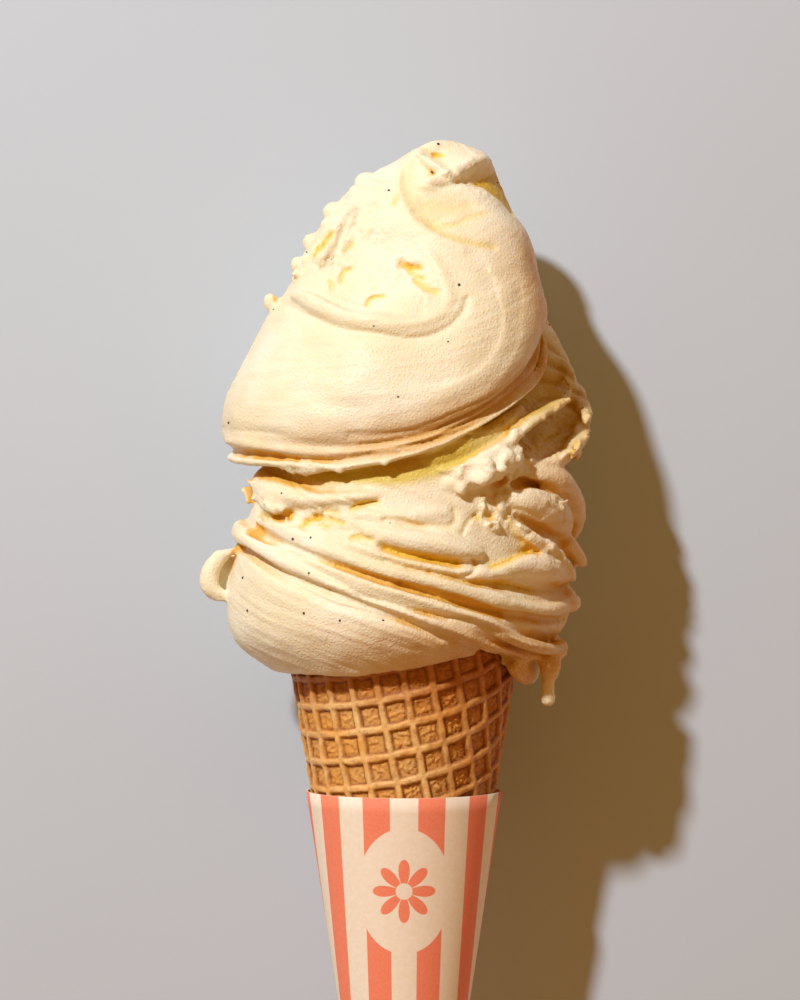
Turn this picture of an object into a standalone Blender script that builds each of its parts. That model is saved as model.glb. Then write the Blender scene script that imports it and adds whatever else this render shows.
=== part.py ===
"""A soft serve cone lying on its back: folded ice cream on a rolled waffle cone in a paper sleeve.

Lengths are in millimetres and angles in degrees until a mesh is placed. The working frame has its
origin on the cone's axis at the cone's mouth: X to the shown right, Y along the axis towards the
peak, Z towards the shown side. PLACE moves it so that the whole part rests on the plane Z = 0.
Angles round the axis start at the shown side and grow towards the shown right.
"""

import math

import bmesh
import bpy
import numpy as np
from mathutils import Vector, noise

MM = 0.001

# The row frame's origin is under the middle of the part's box, on the plane that it rests on.
REST_DEPTH = 35.0
PLACE = np.array([1.7, 20.6, REST_DEPTH])

# Waffle cone
CONE_TOP = 6.0
CONE_TIP = -146.0
CONE_RADIUS = 25.1
CONE_TAPER = 0.167
CONE_SIDES = 48
SOCKET_GAP = 0.3
WAFFLE_PITCH = 6.1
WAFFLE_RIDGE = 1.35
POCKET_DEPTH = 1.1
POCKET_SLOPE = 0.4
WAFFLE_SHIFT = (0.3, -2.8)
SHEET_EDGE = -72.0
ROLL_STEP = 0.6
RELIEF_TOP = 2.0
RELIEF_BOTTOM = -33.0

# Paper sleeve
SLEEVE_RIM = -27.6
SLEEVE_RADIUS = 21.5
SLEEVE_TAPER = 0.152
SLEEVE_TIP = -156.5
PAPER = 0.4
SLEEVE_SIDES = 48

# Ice cream
VOXEL = 0.7
ICE_CREAM_TRIANGLES = 8000
PEAK_HEIGHT = 114.9
SHOULDER = 0.68


def smooth_rows(rows, count):
    """A smooth curve through the rows, read at this many even steps."""
    rows = np.asarray(rows, float)
    last = len(rows) - 1
    steps = np.linspace(0, last, count)
    index = np.minimum(steps.astype(int), last - 1)
    t = (steps - index)[:, None]
    before, start = rows[np.maximum(index - 1, 0)], rows[index]
    end, after = rows[index + 1], rows[np.minimum(index + 2, last)]
    return 0.5 * (
        2 * start
        + (end - before) * t
        + (2 * before - 5 * start + 4 * end - after) * t**2
        + (3 * start - before - 3 * end + after) * t**3
    )


def tube_faces(rings, sides, first):
    """Quads between rings of points, with a fan to the pole point at each end."""
    faces = []
    for ring in range(rings - 1):
        for side in range(sides):
            a = first + ring * sides + side
            b = first + ring * sides + (side + 1) % sides
            faces.append((a, b, b + sides, a + sides))
    low, high = first + rings * sides, first + rings * sides + 1
    for side in range(sides):
        a, b = side, (side + 1) % sides
        faces.append((first + b, first + a, low))
        faces.append((first + (rings - 1) * sides + a, first + (rings - 1) * sides + b, high))
    return faces


def closed_line(points, degrees):
    """The value at each angle of a closed line of (angle, value) round the axis."""
    points = np.asarray(points, float)
    angles = np.concatenate([points[:, 0] - 360, points[:, 0], points[:, 0] + 360])
    return np.interp(degrees, angles, np.tile(points[:, 1], 3))


class Mass:
    """Closed shapes collected as one set of points and faces, before they are fused."""

    def __init__(self):
        self.points = []
        self.faces = []

    def add_rings(self, rings):
        """rings is (rings, sides, 3). Each end is closed at the middle of its ring."""
        count, sides, _ = rings.shape
        first = len(self.points)
        self.points.extend(map(tuple, rings.reshape(-1, 3)))
        self.points.append(tuple(rings[0].mean(0)))
        self.points.append(tuple(rings[-1].mean(0)))
        self.faces.extend(tube_faces(count, sides, first))

    def mound(self, stations, sides=56, steps=48, lift=((0, 0),), lift_top=10):
        """A rounded body along the axis.

        A station is (height, middle x, half width, middle z, half depth). The lower end rises by
        lift, a closed line of (angle, lift) that fades out at lift_top.
        """
        rows = smooth_rows(stations, steps)
        angles = np.linspace(0, 2 * math.pi, sides, endpoint=False)
        height, mid_x, half_x, mid_z, half_z = (rows[:, k][:, None] for k in range(5))
        half_x, half_z = np.maximum(half_x, 0.05), np.maximum(half_z, 0.05)
        x = mid_x + half_x * np.sin(angles)
        z = mid_z + half_z * np.cos(angles)
        raised = closed_line(lift, (np.degrees(angles) + 180) % 360 - 180)
        share = np.clip((lift_top - height) / (lift_top - height[0]), 0, 1)
        self.add_rings(np.stack([x, height + raised * share, z], 2))

    def tilted_mound(self, stations, low_edge, top, rounding, sides=96, steps=72):
        """A mound whose lower edge follows low_edge, a closed line of (angle, height) round the axis.

        It draws in over the lower edge as rounding says, a closed line of (angle, height, how far).
        Its shown right shoulder is square: SHOULDER is 1 for a round one and less for a squarer one.
        """
        rows = smooth_rows(stations, 200)
        share = np.linspace(0, 1, steps)[:, None] ** 1.6
        degrees = np.linspace(-180, 180, sides, endpoint=False)
        low = closed_line(low_edge, degrees)
        height = low + share * (top - low)
        mid_x, half_x, mid_z, half_z = (np.interp(height, rows[:, 0], rows[:, k]) for k in range(1, 5))
        tall = closed_line([row[:2] for row in rounding], degrees)
        drawn_in = closed_line([(row[0], row[2]) for row in rounding], degrees)
        near = np.clip((height - low) / tall, 0, 1)
        swell = 1 - drawn_in * (1 - np.sqrt(1 - (1 - near) ** 2))
        across, facing = np.sin(np.radians(degrees)), np.cos(np.radians(degrees))
        square = (across > 0) & (facing > 0)
        x = mid_x + swell * half_x * np.where(square, np.abs(across) ** SHOULDER, across)
        z = mid_z + swell * half_z * np.where(square, np.abs(facing) ** SHOULDER, facing)
        self.add_rings(np.stack([x, height, z], 2))

    def roll(self, stations, sides=20, steps=40):
        """A round-ended roll of soft cream.

        A station is (angle, height, reach, half height, half thickness). The reach is from the axis
        to the middle of the roll.
        """
        rows = smooth_rows(stations, steps)
        angle = np.radians(rows[:, 0])
        out = np.stack([np.sin(angle), 0 * angle, np.cos(angle)], 1)
        middle = out * rows[:, 2:3]
        middle[:, 1] = rows[:, 1]
        self.strand(middle, out, rows[:, 3], rows[:, 4], sides)

    def strand(self, middle, out, tall, thick, sides=20):
        """A strand along the points of middle, with its flat side facing out and both ends rounded."""
        along = np.gradient(middle, axis=0)
        along /= np.linalg.norm(along, axis=1, keepdims=True)
        across = np.cross(out, along)
        across /= np.linalg.norm(across, axis=1, keepdims=True)
        outward = np.cross(along, across)
        share = np.linspace(-1, 1, len(middle))
        ends = np.sqrt(np.clip(1 - np.abs(share) ** 6, 0.0025, 1))[:, None, None]
        turn = np.linspace(0, 2 * math.pi, sides, endpoint=False)[None, :, None]
        tall, thick = tall[:, None, None], thick[:, None, None]
        section = ends * (tall * np.sin(turn) * across[:, None] + thick * np.cos(turn) * outward[:, None])
        self.add_rings(middle[:, None] + section)

    def cord(self, points, radii, sides=14, steps=24):
        """A round strand through points in space, such as a drip or a finger of cream."""
        rows = smooth_rows(np.column_stack([points, radii]), steps)
        along = np.gradient(rows[:, :3], axis=0)
        side = np.cross(along, np.array([0.31, 0.17, 0.93]))
        side /= np.linalg.norm(side, axis=1, keepdims=True)
        self.strand(rows[:, :3], side, rows[:, 3], rows[:, 3], sides)

    def crumbs(self, stations, count, spread, size, seed):
        """Small torn bits scattered about a line of (angle, height, reach) rows."""
        draw = np.random.default_rng(seed)
        rows = smooth_rows(stations, 50)
        for row in rows[draw.integers(len(rows), size=count)]:
            angle = math.radians(row[0])
            middle = np.array([row[2] * math.sin(angle), row[1], row[2] * math.cos(angle)])
            middle += draw.normal(0, spread, 3)
            self.lump(middle, size * draw.uniform(0.55, 1.25, 3), 8, 10)

    def lump(self, middle, half, steps=12, sides=18):
        """An egg of cream with its half sizes along X, Y and Z."""
        latitude = np.linspace(-0.49 * math.pi, 0.49 * math.pi, steps)[:, None]
        turn = np.linspace(0, 2 * math.pi, sides, endpoint=False)[None, :]
        x = np.cos(latitude) * np.sin(turn)
        z = np.cos(latitude) * np.cos(turn)
        y = np.sin(latitude) + 0 * turn
        self.add_rings(np.stack([x, y, z], 2) * np.array(half) + np.array(middle))


# The lower edge of the top swirl round the axis, as (angle, height)
LIP = [
    (-150, 48), (-120, 47), (-90, 46.2), (-70, 45.2), (-48, 44), (-26, 43.2), (-5, 44.4), (9, 46.6),
    (16, 48.4), (23, 50.2), (31, 52.8), (39, 55.4), (47, 58.4), (56, 61.2), (64, 64.2), (73, 68.2),
    (90, 73.4), (105, 74), (122, 70.4), (140, 64), (170, 55), (190, 50.4),
]

# How the top swirl draws in over that edge, as (angle, height of the curve, share of the radius)
LIP_ROUNDING = [
    (-110, 4.5, 0.2), (-75, 5, 0.18), (-50, 8, 0.15), (-25, 12, 0.16), (0, 14, 0.17), (40, 14, 0.17),
    (65, 12, 0.17), (90, 8, 0.18), (120, 4.5, 0.2), (180, 4.5, 0.2), (220, 4.5, 0.2),
]

# How far the lowest edge over the cone is lifted round the axis, as (angle, lift)
SKIRT_LIFT = [
    (-120, 0.8), (-90, 1), (-60, 1.2), (-40, 1.1), (-20, 0.9), (0, 2.2), (18, 3.3), (35, 4.8),
    (46, 4.2), (58, 2), (80, 1), (120, 0.6), (180, 0.4),
]


def upper_mound(mass):
    """The large smooth swirl on top, with its lips, its band, the curl at the peak and torn lumps."""
    stations = [
        (43, -4, 33.6, 0, 35),
        (47, -4.4, 35, 0, 36),
        (52, -4.5, 35.5, 0, 36.6),
        (58.5, -3.6, 35.4, 0, 36.5),
        (67.8, -1.4, 33.4, 0, 34.2),
        (77, 1, 30.7, 0, 30.8),
        (84, 2.5, 27.5, 0, 27.5),
        (93.5, 3.5, 24, 0, 23.4),
        (99, 3.9, 20.1, 0, 19.4),
        (102.5, 4.3, 18.2, 0, 17.2),
        (106, 5.6, 15.4, 0, 14.2),
        (108.5, 6.8, 13.4, 0, 11.8),
        (111, 9, 10.1, 0, 9.2),
        (113, 9.2, 7.6, 0, 6.8),
        (114.3, 8.2, 4, 0, 3.4),
        (114.9, 7.8, 0.5, 0, 0.5),
    ]
    mass.tilted_mound(stations, LIP, PEAK_HEIGHT, LIP_ROUNDING)
    upper_lips(mass)
    raised_band(mass)
    peak_curl(mass)
    left_edge_lumps(mass)


def upper_lips(mass):
    """Two thin lips one under the other along the lower edge."""
    mass.roll(
        [
            (-128, 50.2, 34, 1, 1.5),
            (-105, 50, 35.8, 1.4, 2),
            (-83, 49.4, 38, 1.4, 2),
            (-62, 48.6, 38, 1.4, 2),
            (-44, 47.2, 36.3, 1.4, 2),
            (-26, 46, 34.5, 1.3, 2),
            (-5, 47, 33.5, 1, 1.8),
            (9, 49.4, 33.4, 0.8, 1.6),
            (23, 52.8, 33.4, 0.7, 1.5),
            (39, 58, 33.3, 0.7, 1.4),
            (56, 64.2, 32.7, 0.7, 1.4),
            (66, 68.6, 31.5, 0.6, 1.1),
            (78, 74, 30.2, 0.6, 1),
        ],
        steps=80,
    )
    mass.cord(
        [
            (-24.8, 44.4, 25.6),
            (-22, 43, 27.6),
            (-19.4, 42.7, 29.4),
            (-17.6, 43.4, 30.6),
        ],
        [0.6, 1.2, 1.1, 0.6],
    )
    mass.cord(
        [
            (-17.6, 43.7, 31),
            (-15.4, 43.2, 32),
            (-13.9, 42.7, 32.4),
            (-13.4, 41.6, 32.2),
        ],
        [0.8, 0.8, 0.9, 0.8],
    )
    mass.lump((-4, 44.1, 34.8), (0.9, 0.9, 0.9))
    mass.crumbs([(-47, 42.8, 35.4), (-36, 42.4, 35.2), (-24, 42.6, 34.8)], 14, 0.5, 0.6, 12)
    mass.roll(
        [
            (-96, 46.2, 36.6, 2, 2.4),
            (-84, 45.6, 37.4, 1.4, 2.2),
            (-62, 44.8, 36.8, 1.1, 2.1),
            (-44, 43.9, 35.4, 1.1, 2.2),
            (-26, 43.3, 34.2, 1.1, 2.2),
            (-14, 44, 33.9, 1, 2.1),
            (-1, 45.6, 33.7, 0.9, 2),
            (9, 47.4, 33.5, 0.8, 1.9),
            (23, 50.9, 33.4, 0.8, 1.8),
            (39, 56, 33.4, 0.8, 1.8),
            (56, 61.8, 33.2, 0.9, 1.6),
            (64, 64.8, 32.6, 0.8, 1.5),
            (74, 69, 31.6, 0.8, 1.3),
            (86, 73, 30.2, 0.7, 1.1),
        ],
        steps=90,
    )


def raised_band(mass):
    """The soft band that curls round the torn hollow, with the droplet at its left end and a nub below."""
    mass.roll(
        [
            (-60, 80.5, 28.25, 1.6, 1.4),
            (-47, 79.6, 29.45, 2, 1.6),
            (-36, 77.6, 30.6, 2.2, 1.7),
            (-25, 75.6, 31.45, 2.4, 1.7),
            (-13, 74, 31.85, 2.5, 1.7),
            (-3, 73.1, 31.95, 2.5, 1.7),
            (6, 73, 31.8, 2.4, 1.7),
            (14, 74.8, 31.1, 2.2, 1.7),
            (18.5, 78.4, 30.1, 2, 1.7),
            (18, 82.4, 28.35, 2, 1.4),
            (14, 86.2, 26.75, 1.9, 1.3),
            (9, 90.2, 24.65, 1.8, 1.1),
            (3, 94, 22.45, 1.6, 0.8),
        ],
        steps=70,
    )
    mass.lump((-29.2, 79.6, 5), (1.7, 2, 1.7))
    mass.lump((-14.6, 56.6, 33), (1.3, 1.9, 1.5))


def peak_curl(mass):
    """The curled tip with its free edge, a short finger on it, and the rounded edge of the next turn."""
    mass.cord(
        [
            (0.6, 103.8, 14),
            (1, 107.4, 10.6),
            (3, 110.6, 7.6),
            (6.6, 112.7, 5.5),
            (11, 112.9, 3.8),
            (16.2, 111, 3.6),
            (19.2, 107.5, 4),
        ],
        [0.9, 1.5, 1.8, 1.9, 1.9, 1.8, 1.3],
    )
    mass.cord(
        [
            (1.4, 104.4, 14.6),
            (4.4, 104, 16),
            (8.6, 105.4, 15),
            (12, 107.6, 12.4),
            (15.4, 109.6, 9.4),
            (18.2, 110.6, 6),
        ],
        [1.3, 1.8, 1.9, 1.8, 1.7, 1.4],
    )
    mass.cord([(3.6, 110.4, 10.4), (6, 108.6, 13), (8.4, 107, 14.4)], [0.9, 1.2, 1])
    mass.cord(
        [
            (2.6, 101.6, 16.4),
            (7, 102.6, 15.9),
            (11, 103, 15.1),
            (14.4, 102.6, 13.6),
            (17.6, 101, 11.6),
            (20.4, 98.8, 9),
            (22.6, 96.2, 7),
        ],
        [0.9, 1.3, 1.5, 1.6, 1.6, 1.5, 1.2],
    )
    mass.lump((12, 98.6, 8.6), (8, 4.4, 7))


def left_edge_lumps(mass):
    """Torn lumps along the shown left edge of the top swirl."""
    mass.lump((-8.2, 105.6, 4), (2.8, 2.7, 3))
    mass.lump((-10.4, 102.8, 7), (1.9, 2.4, 2))
    mass.lump((-15.4, 99.2, 4), (2.7, 2.6, 3))
    mass.lump((-16.4, 95.6, 8), (2, 2.6, 2.2))
    mass.lump((-20.2, 92.6, 4), (2, 2.1, 2.4))
    mass.lump((-23.2, 87.6, 4), (1.6, 2.2, 2))
    mass.cord(
        [
            (-9.6, 101, 11.4),
            (-13, 96, 14.2),
            (-16, 91, 16.2),
            (-18.4, 86.4, 17.4),
        ],
        [1.6, 2, 2, 1.2],
    )
    mass.cord([(-6, 99, 14.6), (-9.4, 93, 17.4), (-12, 88, 19.8)], [1.2, 1.6, 1.2])
    mass.crumbs([(-60, 103, 13), (-62, 97, 19), (-64, 90, 22.6), (-66, 84, 25.4)], 16, 1, 0.8, 9)


def second_layer(mass):
    """The layer under the top swirl, which stands out on the shown right, with two rough ridges."""
    mass.mound(
        [
            (41.5, 8, 2, 0, 2),
            (42, 7.5, 20, 0, 20),
            (44, 5.5, 29, -0.5, 28.5),
            (47.5, 5, 32.8, -4.6, 30.6),
            (52, 5.6, 33.8, -8, 28),
            (57, 6, 34.2, -11.4, 24.6),
            (63, 5.8, 33, -12.4, 22),
            (70, 4.8, 31, -12.4, 19.6),
            (77, 3.8, 27.8, -12, 17),
            (83, 3, 24, -11, 14),
            (86, 2.4, 12, -11, 8),
            (87, 2, 1, -11, 1),
        ]
    )
    mass.roll(
        [
            (8, 42, 30.2, 0.9, 1.4),
            (14, 42.4, 31.4, 1.1, 2),
            (22, 43.4, 32.4, 1.2, 2.4),
            (29, 45.2, 33.2, 1.2, 2.6),
            (36, 47.6, 33.8, 1.2, 2.6),
            (42.5, 49.8, 34.2, 1.2, 2.6),
            (50, 52.8, 34.6, 1.2, 2.5),
            (57, 54.8, 35, 1.2, 2.4),
            (68, 56.8, 35.6, 1.1, 2.2),
            (78, 58.8, 36.4, 1, 2),
            (88, 62, 36.6, 0.9, 1.8),
            (96, 66, 36, 0.9, 1.6),
            (104, 71, 34, 0.8, 1.2),
        ],
        steps=80,
    )
    mass.roll(
        [
            (46, 44, 31, 1, 1.4),
            (56, 44.2, 34, 1.3, 1.8),
            (64, 44.8, 36, 1.5, 2),
            (70, 46.4, 37.2, 1.6, 2.1),
            (75, 48.6, 38.4, 1.7, 2.1),
            (82, 51.8, 39.2, 1.7, 2.1),
            (92, 56.8, 39.2, 1.7, 2.1),
            (104, 62, 38, 1.6, 2),
            (118, 67, 35.4, 1.4, 1.8),
            (132, 71, 31, 1.2, 1.4),
        ],
        steps=60,
    )
    mass.roll([
        (6, 44.6, 31, 2, 1.6),
        (22, 47.4, 31.6, 2.4, 1.6),
        (38, 51, 31.4, 2.4, 1.6),
        (56, 56, 31, 2.4, 1.6),
    ])
    mass.lump((23.6, 50.2, 26.6), (1.5, 1.4, 1.6))
    mass.lump((37.6, 47.4, 6), (1.3, 2.6, 1.8))
    mass.lump((40.2, 51.6, 4), (0.9, 0.9, 1))
    mass.crumbs([(22, 43.8, 34), (36, 48, 35.6), (46, 51.6, 36.2)], 16, 0.4, 0.75, 1)
    mass.crumbs([(52, 53.8, 36.4), (66, 57.2, 37), (72, 58, 37.4)], 16, 0.45, 0.8, 2)
    mass.crumbs([(66, 45.6, 37.8), (74, 49, 39.6), (84, 54, 40.2), (88, 58, 40)], 30, 0.7, 0.85, 3)


def lower_mound(mass):
    """The wide folded mass on the cone's mouth, narrowing to the neck under the top swirl."""
    mass.mound(
        [
            (-2.6, -3, 20, 1, 22),
            (-2.2, -3, 25.5, 1.2, 25.8),
            (-0.5, -2.8, 28.6, 1, 28),
            (2, -2.8, 31.6, 0.9, 30.6),
            (5, -2.4, 34.6, 0.7, 33),
            (9, -1.6, 37, 0.3, 35.2),
            (14, -1.2, 37.6, 0, 36),
            (20, -1.2, 37, 0, 35.6),
            (26, -0.6, 35.6, 0, 34.8),
            (32, 0, 34.2, 0, 33.8),
            (37, 0.4, 32.8, 0, 32.8),
            (42, 0.6, 32.4, 0, 31.8),
            (48, 1, 30.4, 0, 29.6),
            (54, 1, 26, 0, 24),
            (56, 1, 2, 0, 2),
        ],
        lift=SKIRT_LIFT,
    )
    lower_bands(mass)
    torn_lumps(mass)
    right_lobes(mass)
    skirt_and_drips(mass)


def lower_bands(mass):
    """Long folds that fall to the shown right, and plainer ones round the back."""
    mass.roll(
        [
            (-128, 31, 34.4, 2, 2),
            (-100, 30.4, 35.6, 2.4, 2.2),
            (-78, 28.6, 36, 2.6, 2.4),
            (-61, 26.8, 35.8, 2.6, 2.4),
            (-47, 23.8, 35.8, 2.4, 2.2),
            (-32, 20.6, 35.6, 2.2, 2),
            (-20, 17.8, 35.4, 2, 1.9),
            (-9, 15.1, 35, 1.8, 1.9),
            (0, 13.1, 34.8, 1.7, 1.9),
            (10, 10.7, 34.3, 1.6, 2),
            (18, 8.6, 33.8, 1.5, 2),
            (24, 7, 33, 1.5, 2),
            (34, 4.8, 31.2, 1.6, 2.2),
            (50, 3.2, 30.4, 1.8, 2.4),
            (70, 3.2, 31.4, 1.8, 2.2),
            (92, 4.2, 31.8, 1.6, 2),
        ],
        steps=80,
    )
    mass.roll(
        [
            (-64, 29.6, 34.6, 1.6, 1.6),
            (-47, 27.2, 35, 1.8, 1.9),
            (-32, 23.9, 35.2, 1.8, 2),
            (-20, 21, 35.2, 1.8, 2),
            (-9, 18.2, 35, 1.8, 2),
            (2, 16.4, 35, 1.7, 2),
            (11, 14.8, 35, 1.7, 2),
            (17, 13.4, 35, 1.6, 2),
            (24, 12, 35, 1.6, 2),
            (30, 10.4, 35, 1.6, 2),
            (36, 8.4, 35, 1.5, 2),
            (44, 6.4, 35.2, 1.4, 1.9),
            (54, 5, 35.6, 1.4, 1.8),
            (64, 4.2, 35.8, 1.3, 1.8),
            (74, 4.2, 35.2, 1.3, 1.8),
            (90, 4.8, 33.8, 1.6, 2),
            (108, 7, 33, 1.6, 2),
        ],
        steps=80,
    )
    mass.roll(
        [
            (-72, 32, 33.8, 1.8, 1.6),
            (-57, 31, 34.2, 2.2, 2),
            (-40, 28.4, 34.8, 2.3, 2.1),
            (-21, 24.6, 35.2, 2.3, 2.1),
            (-9, 21.9, 35.2, 2.2, 2),
            (2, 20, 35.1, 2.2, 2),
            (11, 18.8, 35.2, 2.1, 2),
            (20, 17.2, 35.4, 2, 2.1),
            (30, 15.6, 35.6, 1.9, 2.1),
            (39, 14.3, 35.9, 1.7, 2.1),
            (47, 13.2, 36.2, 1.6, 2),
            (56, 12.6, 36.4, 1.6, 2),
            (68, 13.2, 36.2, 2, 2.2),
            (84, 14.8, 36, 2.3, 2.3),
            (104, 16.6, 35.2, 2.2, 2.2),
            (126, 19.2, 34.4, 2, 2),
        ],
        steps=80,
    )
    mass.roll(
        [
            (-34, 29.6, 33.6, 1.2, 1.2),
            (-20, 27.2, 34.6, 1.5, 1.6),
            (-8, 24.6, 35, 1.5, 1.6),
            (2, 23, 35.1, 1.4, 1.5),
            (12, 21.6, 35.2, 1.4, 1.5),
            (24, 20.6, 35.2, 1.5, 1.6),
            (34, 21.3, 35.4, 1.9, 1.9),
            (43, 22.2, 35.6, 2.4, 2.2),
            (54, 22, 36.2, 2.7, 2.4),
            (64, 20.8, 36.4, 2.5, 2.3),
            (74, 20, 36.4, 2, 2),
            (92, 20.6, 36, 2, 2),
            (114, 22.8, 35, 1.9, 1.9),
        ],
        steps=80,
    )
    mass.roll(
        [
            (-17, 30.6, 33.2, 1.8, 1.8),
            (-8, 28.8, 34.2, 2.4, 2.2),
            (2, 27.8, 34.8, 2.6, 2.3),
            (12, 26.9, 35, 2.5, 2.3),
            (21, 25.8, 35.2, 2.1, 2.1),
            (29, 25, 35.2, 1.5, 1.6),
        ]
    )
    mass.roll(
        [
            (-20, 33.4, 32.6, 1.4, 1.4),
            (-8, 32.6, 33, 1.8, 1.7),
            (2, 32.8, 33, 1.8, 1.7),
            (10, 33.2, 32.9, 1.7, 1.6),
            (17, 33, 32.8, 1.3, 1.3),
        ]
    )
    mass.roll(
        [
            (104, 12, 33.6, 2.2, 2),
            (130, 14.4, 33.4, 3, 2.4),
            (160, 17, 33.2, 3.2, 2.4),
            (190, 20.6, 33.2, 3, 2.4),
            (222, 25.4, 33.8, 2.6, 2.2),
        ],
        steps=60,
    )
    mass.roll(
        [
            (96, 27.4, 34.6, 2.2, 2),
            (125, 28.6, 33.2, 3, 2.4),
            (160, 30.4, 32.4, 3, 2.4),
            (195, 33, 31.6, 2.8, 2.4),
            (235, 35.4, 31.4, 2.2, 2),
        ],
        steps=60,
    )


def torn_lumps(mass):
    """The torn lump and its long finger on the shown left, and the rough crest right of the middle."""
    mass.roll(
        [
            (-80, 43, 30.6, 2.4, 2.4),
            (-71, 40.4, 32, 3.2, 3),
            (-62, 38.2, 33, 4, 3.4),
            (-53, 37, 33.4, 4.4, 3.6),
            (-44, 37, 33, 2.8, 2.8),
            (-34, 36.4, 32.8, 1.6, 2.2),
            (-24, 36.6, 32.6, 1.3, 2),
            (-13, 37.2, 32.4, 1.1, 1.7),
            (-8, 37.2, 32, 0.8, 1.2),
        ],
        steps=50,
    )
    mass.lump((-28.4, 33.6, 18.2), (2.6, 2.6, 2.6))
    mass.cord([(-33, 38.6, 4), (-34.6, 38.4, 4.2), (-35.4, 38.9, 4.4)], [1.1, 0.9, 0.5])
    mass.cord([(-33, 37.4, 4), (-34, 36.8, 4.4), (-33.6, 35.4, 4.6)], [1.1, 0.8, 0.5])
    mass.crumbs([(-74, 41.6, 34), (-60, 36, 36.4), (-48, 33.8, 36)], 18, 0.9, 0.8, 4)
    mass.roll(
        [
            (43, 48.6, 31.4, 1.2, 1.6),
            (45, 46.4, 31.6, 1.8, 2),
            (47, 44, 31.8, 2, 2.2),
            (45, 41.8, 32, 1.8, 2.2),
            (41, 39.8, 32, 1.4, 1.8),
            (36, 37.6, 32.4, 1, 1.4),
        ]
    )
    mass.roll(
        [
            (14, 39.2, 31.6, 1.8, 2),
            (22, 40.6, 32.6, 2.6, 2.4),
            (29, 42.2, 33.4, 3, 2.6),
            (36, 44.2, 34, 3.2, 2.8),
            (42.5, 45.8, 34.4, 3, 2.8),
            (47, 46.4, 34.6, 2.2, 2.4),
        ]
    )
    mass.crumbs(
        [
            (42, 48, 33.2),
            (46, 46, 33.8),
            (48, 43.6, 34),
            (43, 41, 33.8),
            (40, 39.6, 33.6),
        ],
        34, 0.55, 0.85, 5,
    )
    mass.crumbs([(20, 40.4, 34.6), (28, 42.4, 35.8), (36, 44.4, 36.6), (44, 46.2, 36.8)], 20, 1, 1.3, 14)
    mass.lump((26.8, 44.9, 21.6), (1.3, 1, 1.4))
    mass.cord([(19.6, 37.4, 27.4), (20.4, 35.4, 27.2), (21.2, 33.6, 27)], [0.9, 1.05, 0.95])
    mass.lump((19.2, 30.9, 28.6), (1.35, 1.35, 1.5))
    mass.crumbs([(33, 38, 33), (30, 35, 33.6), (31, 31, 34.4)], 16, 1, 0.55, 6)


def right_lobes(mass):
    """Thick folded lobes on the shown right, one behind the other."""
    mass.roll(
        [
            (48, 42.4, 31.6, 1.4, 1.8),
            (56, 42, 34.2, 2.3, 2.6),
            (64, 40.8, 36, 2.6, 3),
            (73, 38.6, 36.4, 2.8, 3.2),
            (84, 34.6, 36.8, 3.2, 3.2),
            (96, 30, 36.6, 3, 3),
            (108, 26, 35, 2, 2),
        ],
        steps=50,
    )
    mass.roll(
        [
            (48, 41.6, 32.4, 0.6, 1),
            (53, 41.2, 34.4, 0.8, 1.4),
            (60, 40.2, 36.2, 0.9, 1.5),
            (66, 38.8, 37.2, 0.9, 1.5),
            (74, 36.8, 37.8, 0.8, 1.3),
            (82, 34, 37.8, 0.6, 1),
        ]
    )
    mass.roll(
        [
            (36, 36, 32, 1.6, 1.8),
            (41, 36, 33, 2.4, 2.4),
            (47, 35.8, 34.2, 3.2, 2.9),
            (54, 35, 35, 4, 3.2),
            (61, 34.1, 35.6, 4.3, 3.2),
            (69, 32.4, 35.8, 4, 3),
            (77, 30.4, 35.4, 3.2, 2.6),
            (86, 28.6, 34.6, 2.2, 2),
        ],
        steps=50,
    )
    mass.lump((27, 35, 6), (8, 8, 12))
    mass.roll(
        [
            (38, 33.4, 33.6, 0.6, 1),
            (44, 31, 34.8, 0.9, 1.3),
            (48.5, 29.2, 35.6, 1, 1.4),
            (54.5, 27, 36.4, 1, 1.5),
            (60.5, 25.2, 37.2, 1, 1.5),
            (64.5, 23.2, 37.8, 1, 1.5),
            (69, 20.8, 38.4, 1.1, 1.4),
            (74, 18.8, 38.6, 1.1, 1.3),
        ]
    )
    mass.roll([
        (37, 32, 33, 0.6, 0.9),
        (42, 29.8, 34.6, 0.7, 1.1),
        (48, 27.6, 35.8, 0.7, 1.1),
        (55, 25.4, 36.6, 0.6, 1),
    ])
    mass.crumbs([(40, 32.6, 35), (48, 29.4, 36.6), (58, 26, 38)], 18, 0.45, 0.7, 7)
    mass.crumbs([(52, 38, 38), (62, 35, 39), (70, 32, 39)], 20, 1, 0.5, 8)
    mass.cord([(34.6, 28, 8), (37.4, 24.8, 4), (39.7, 21.8, 1)], [2.4, 1.9, 1.1])
    mass.lump((35.6, 14, 8), (3, 2.2, 5))


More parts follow.
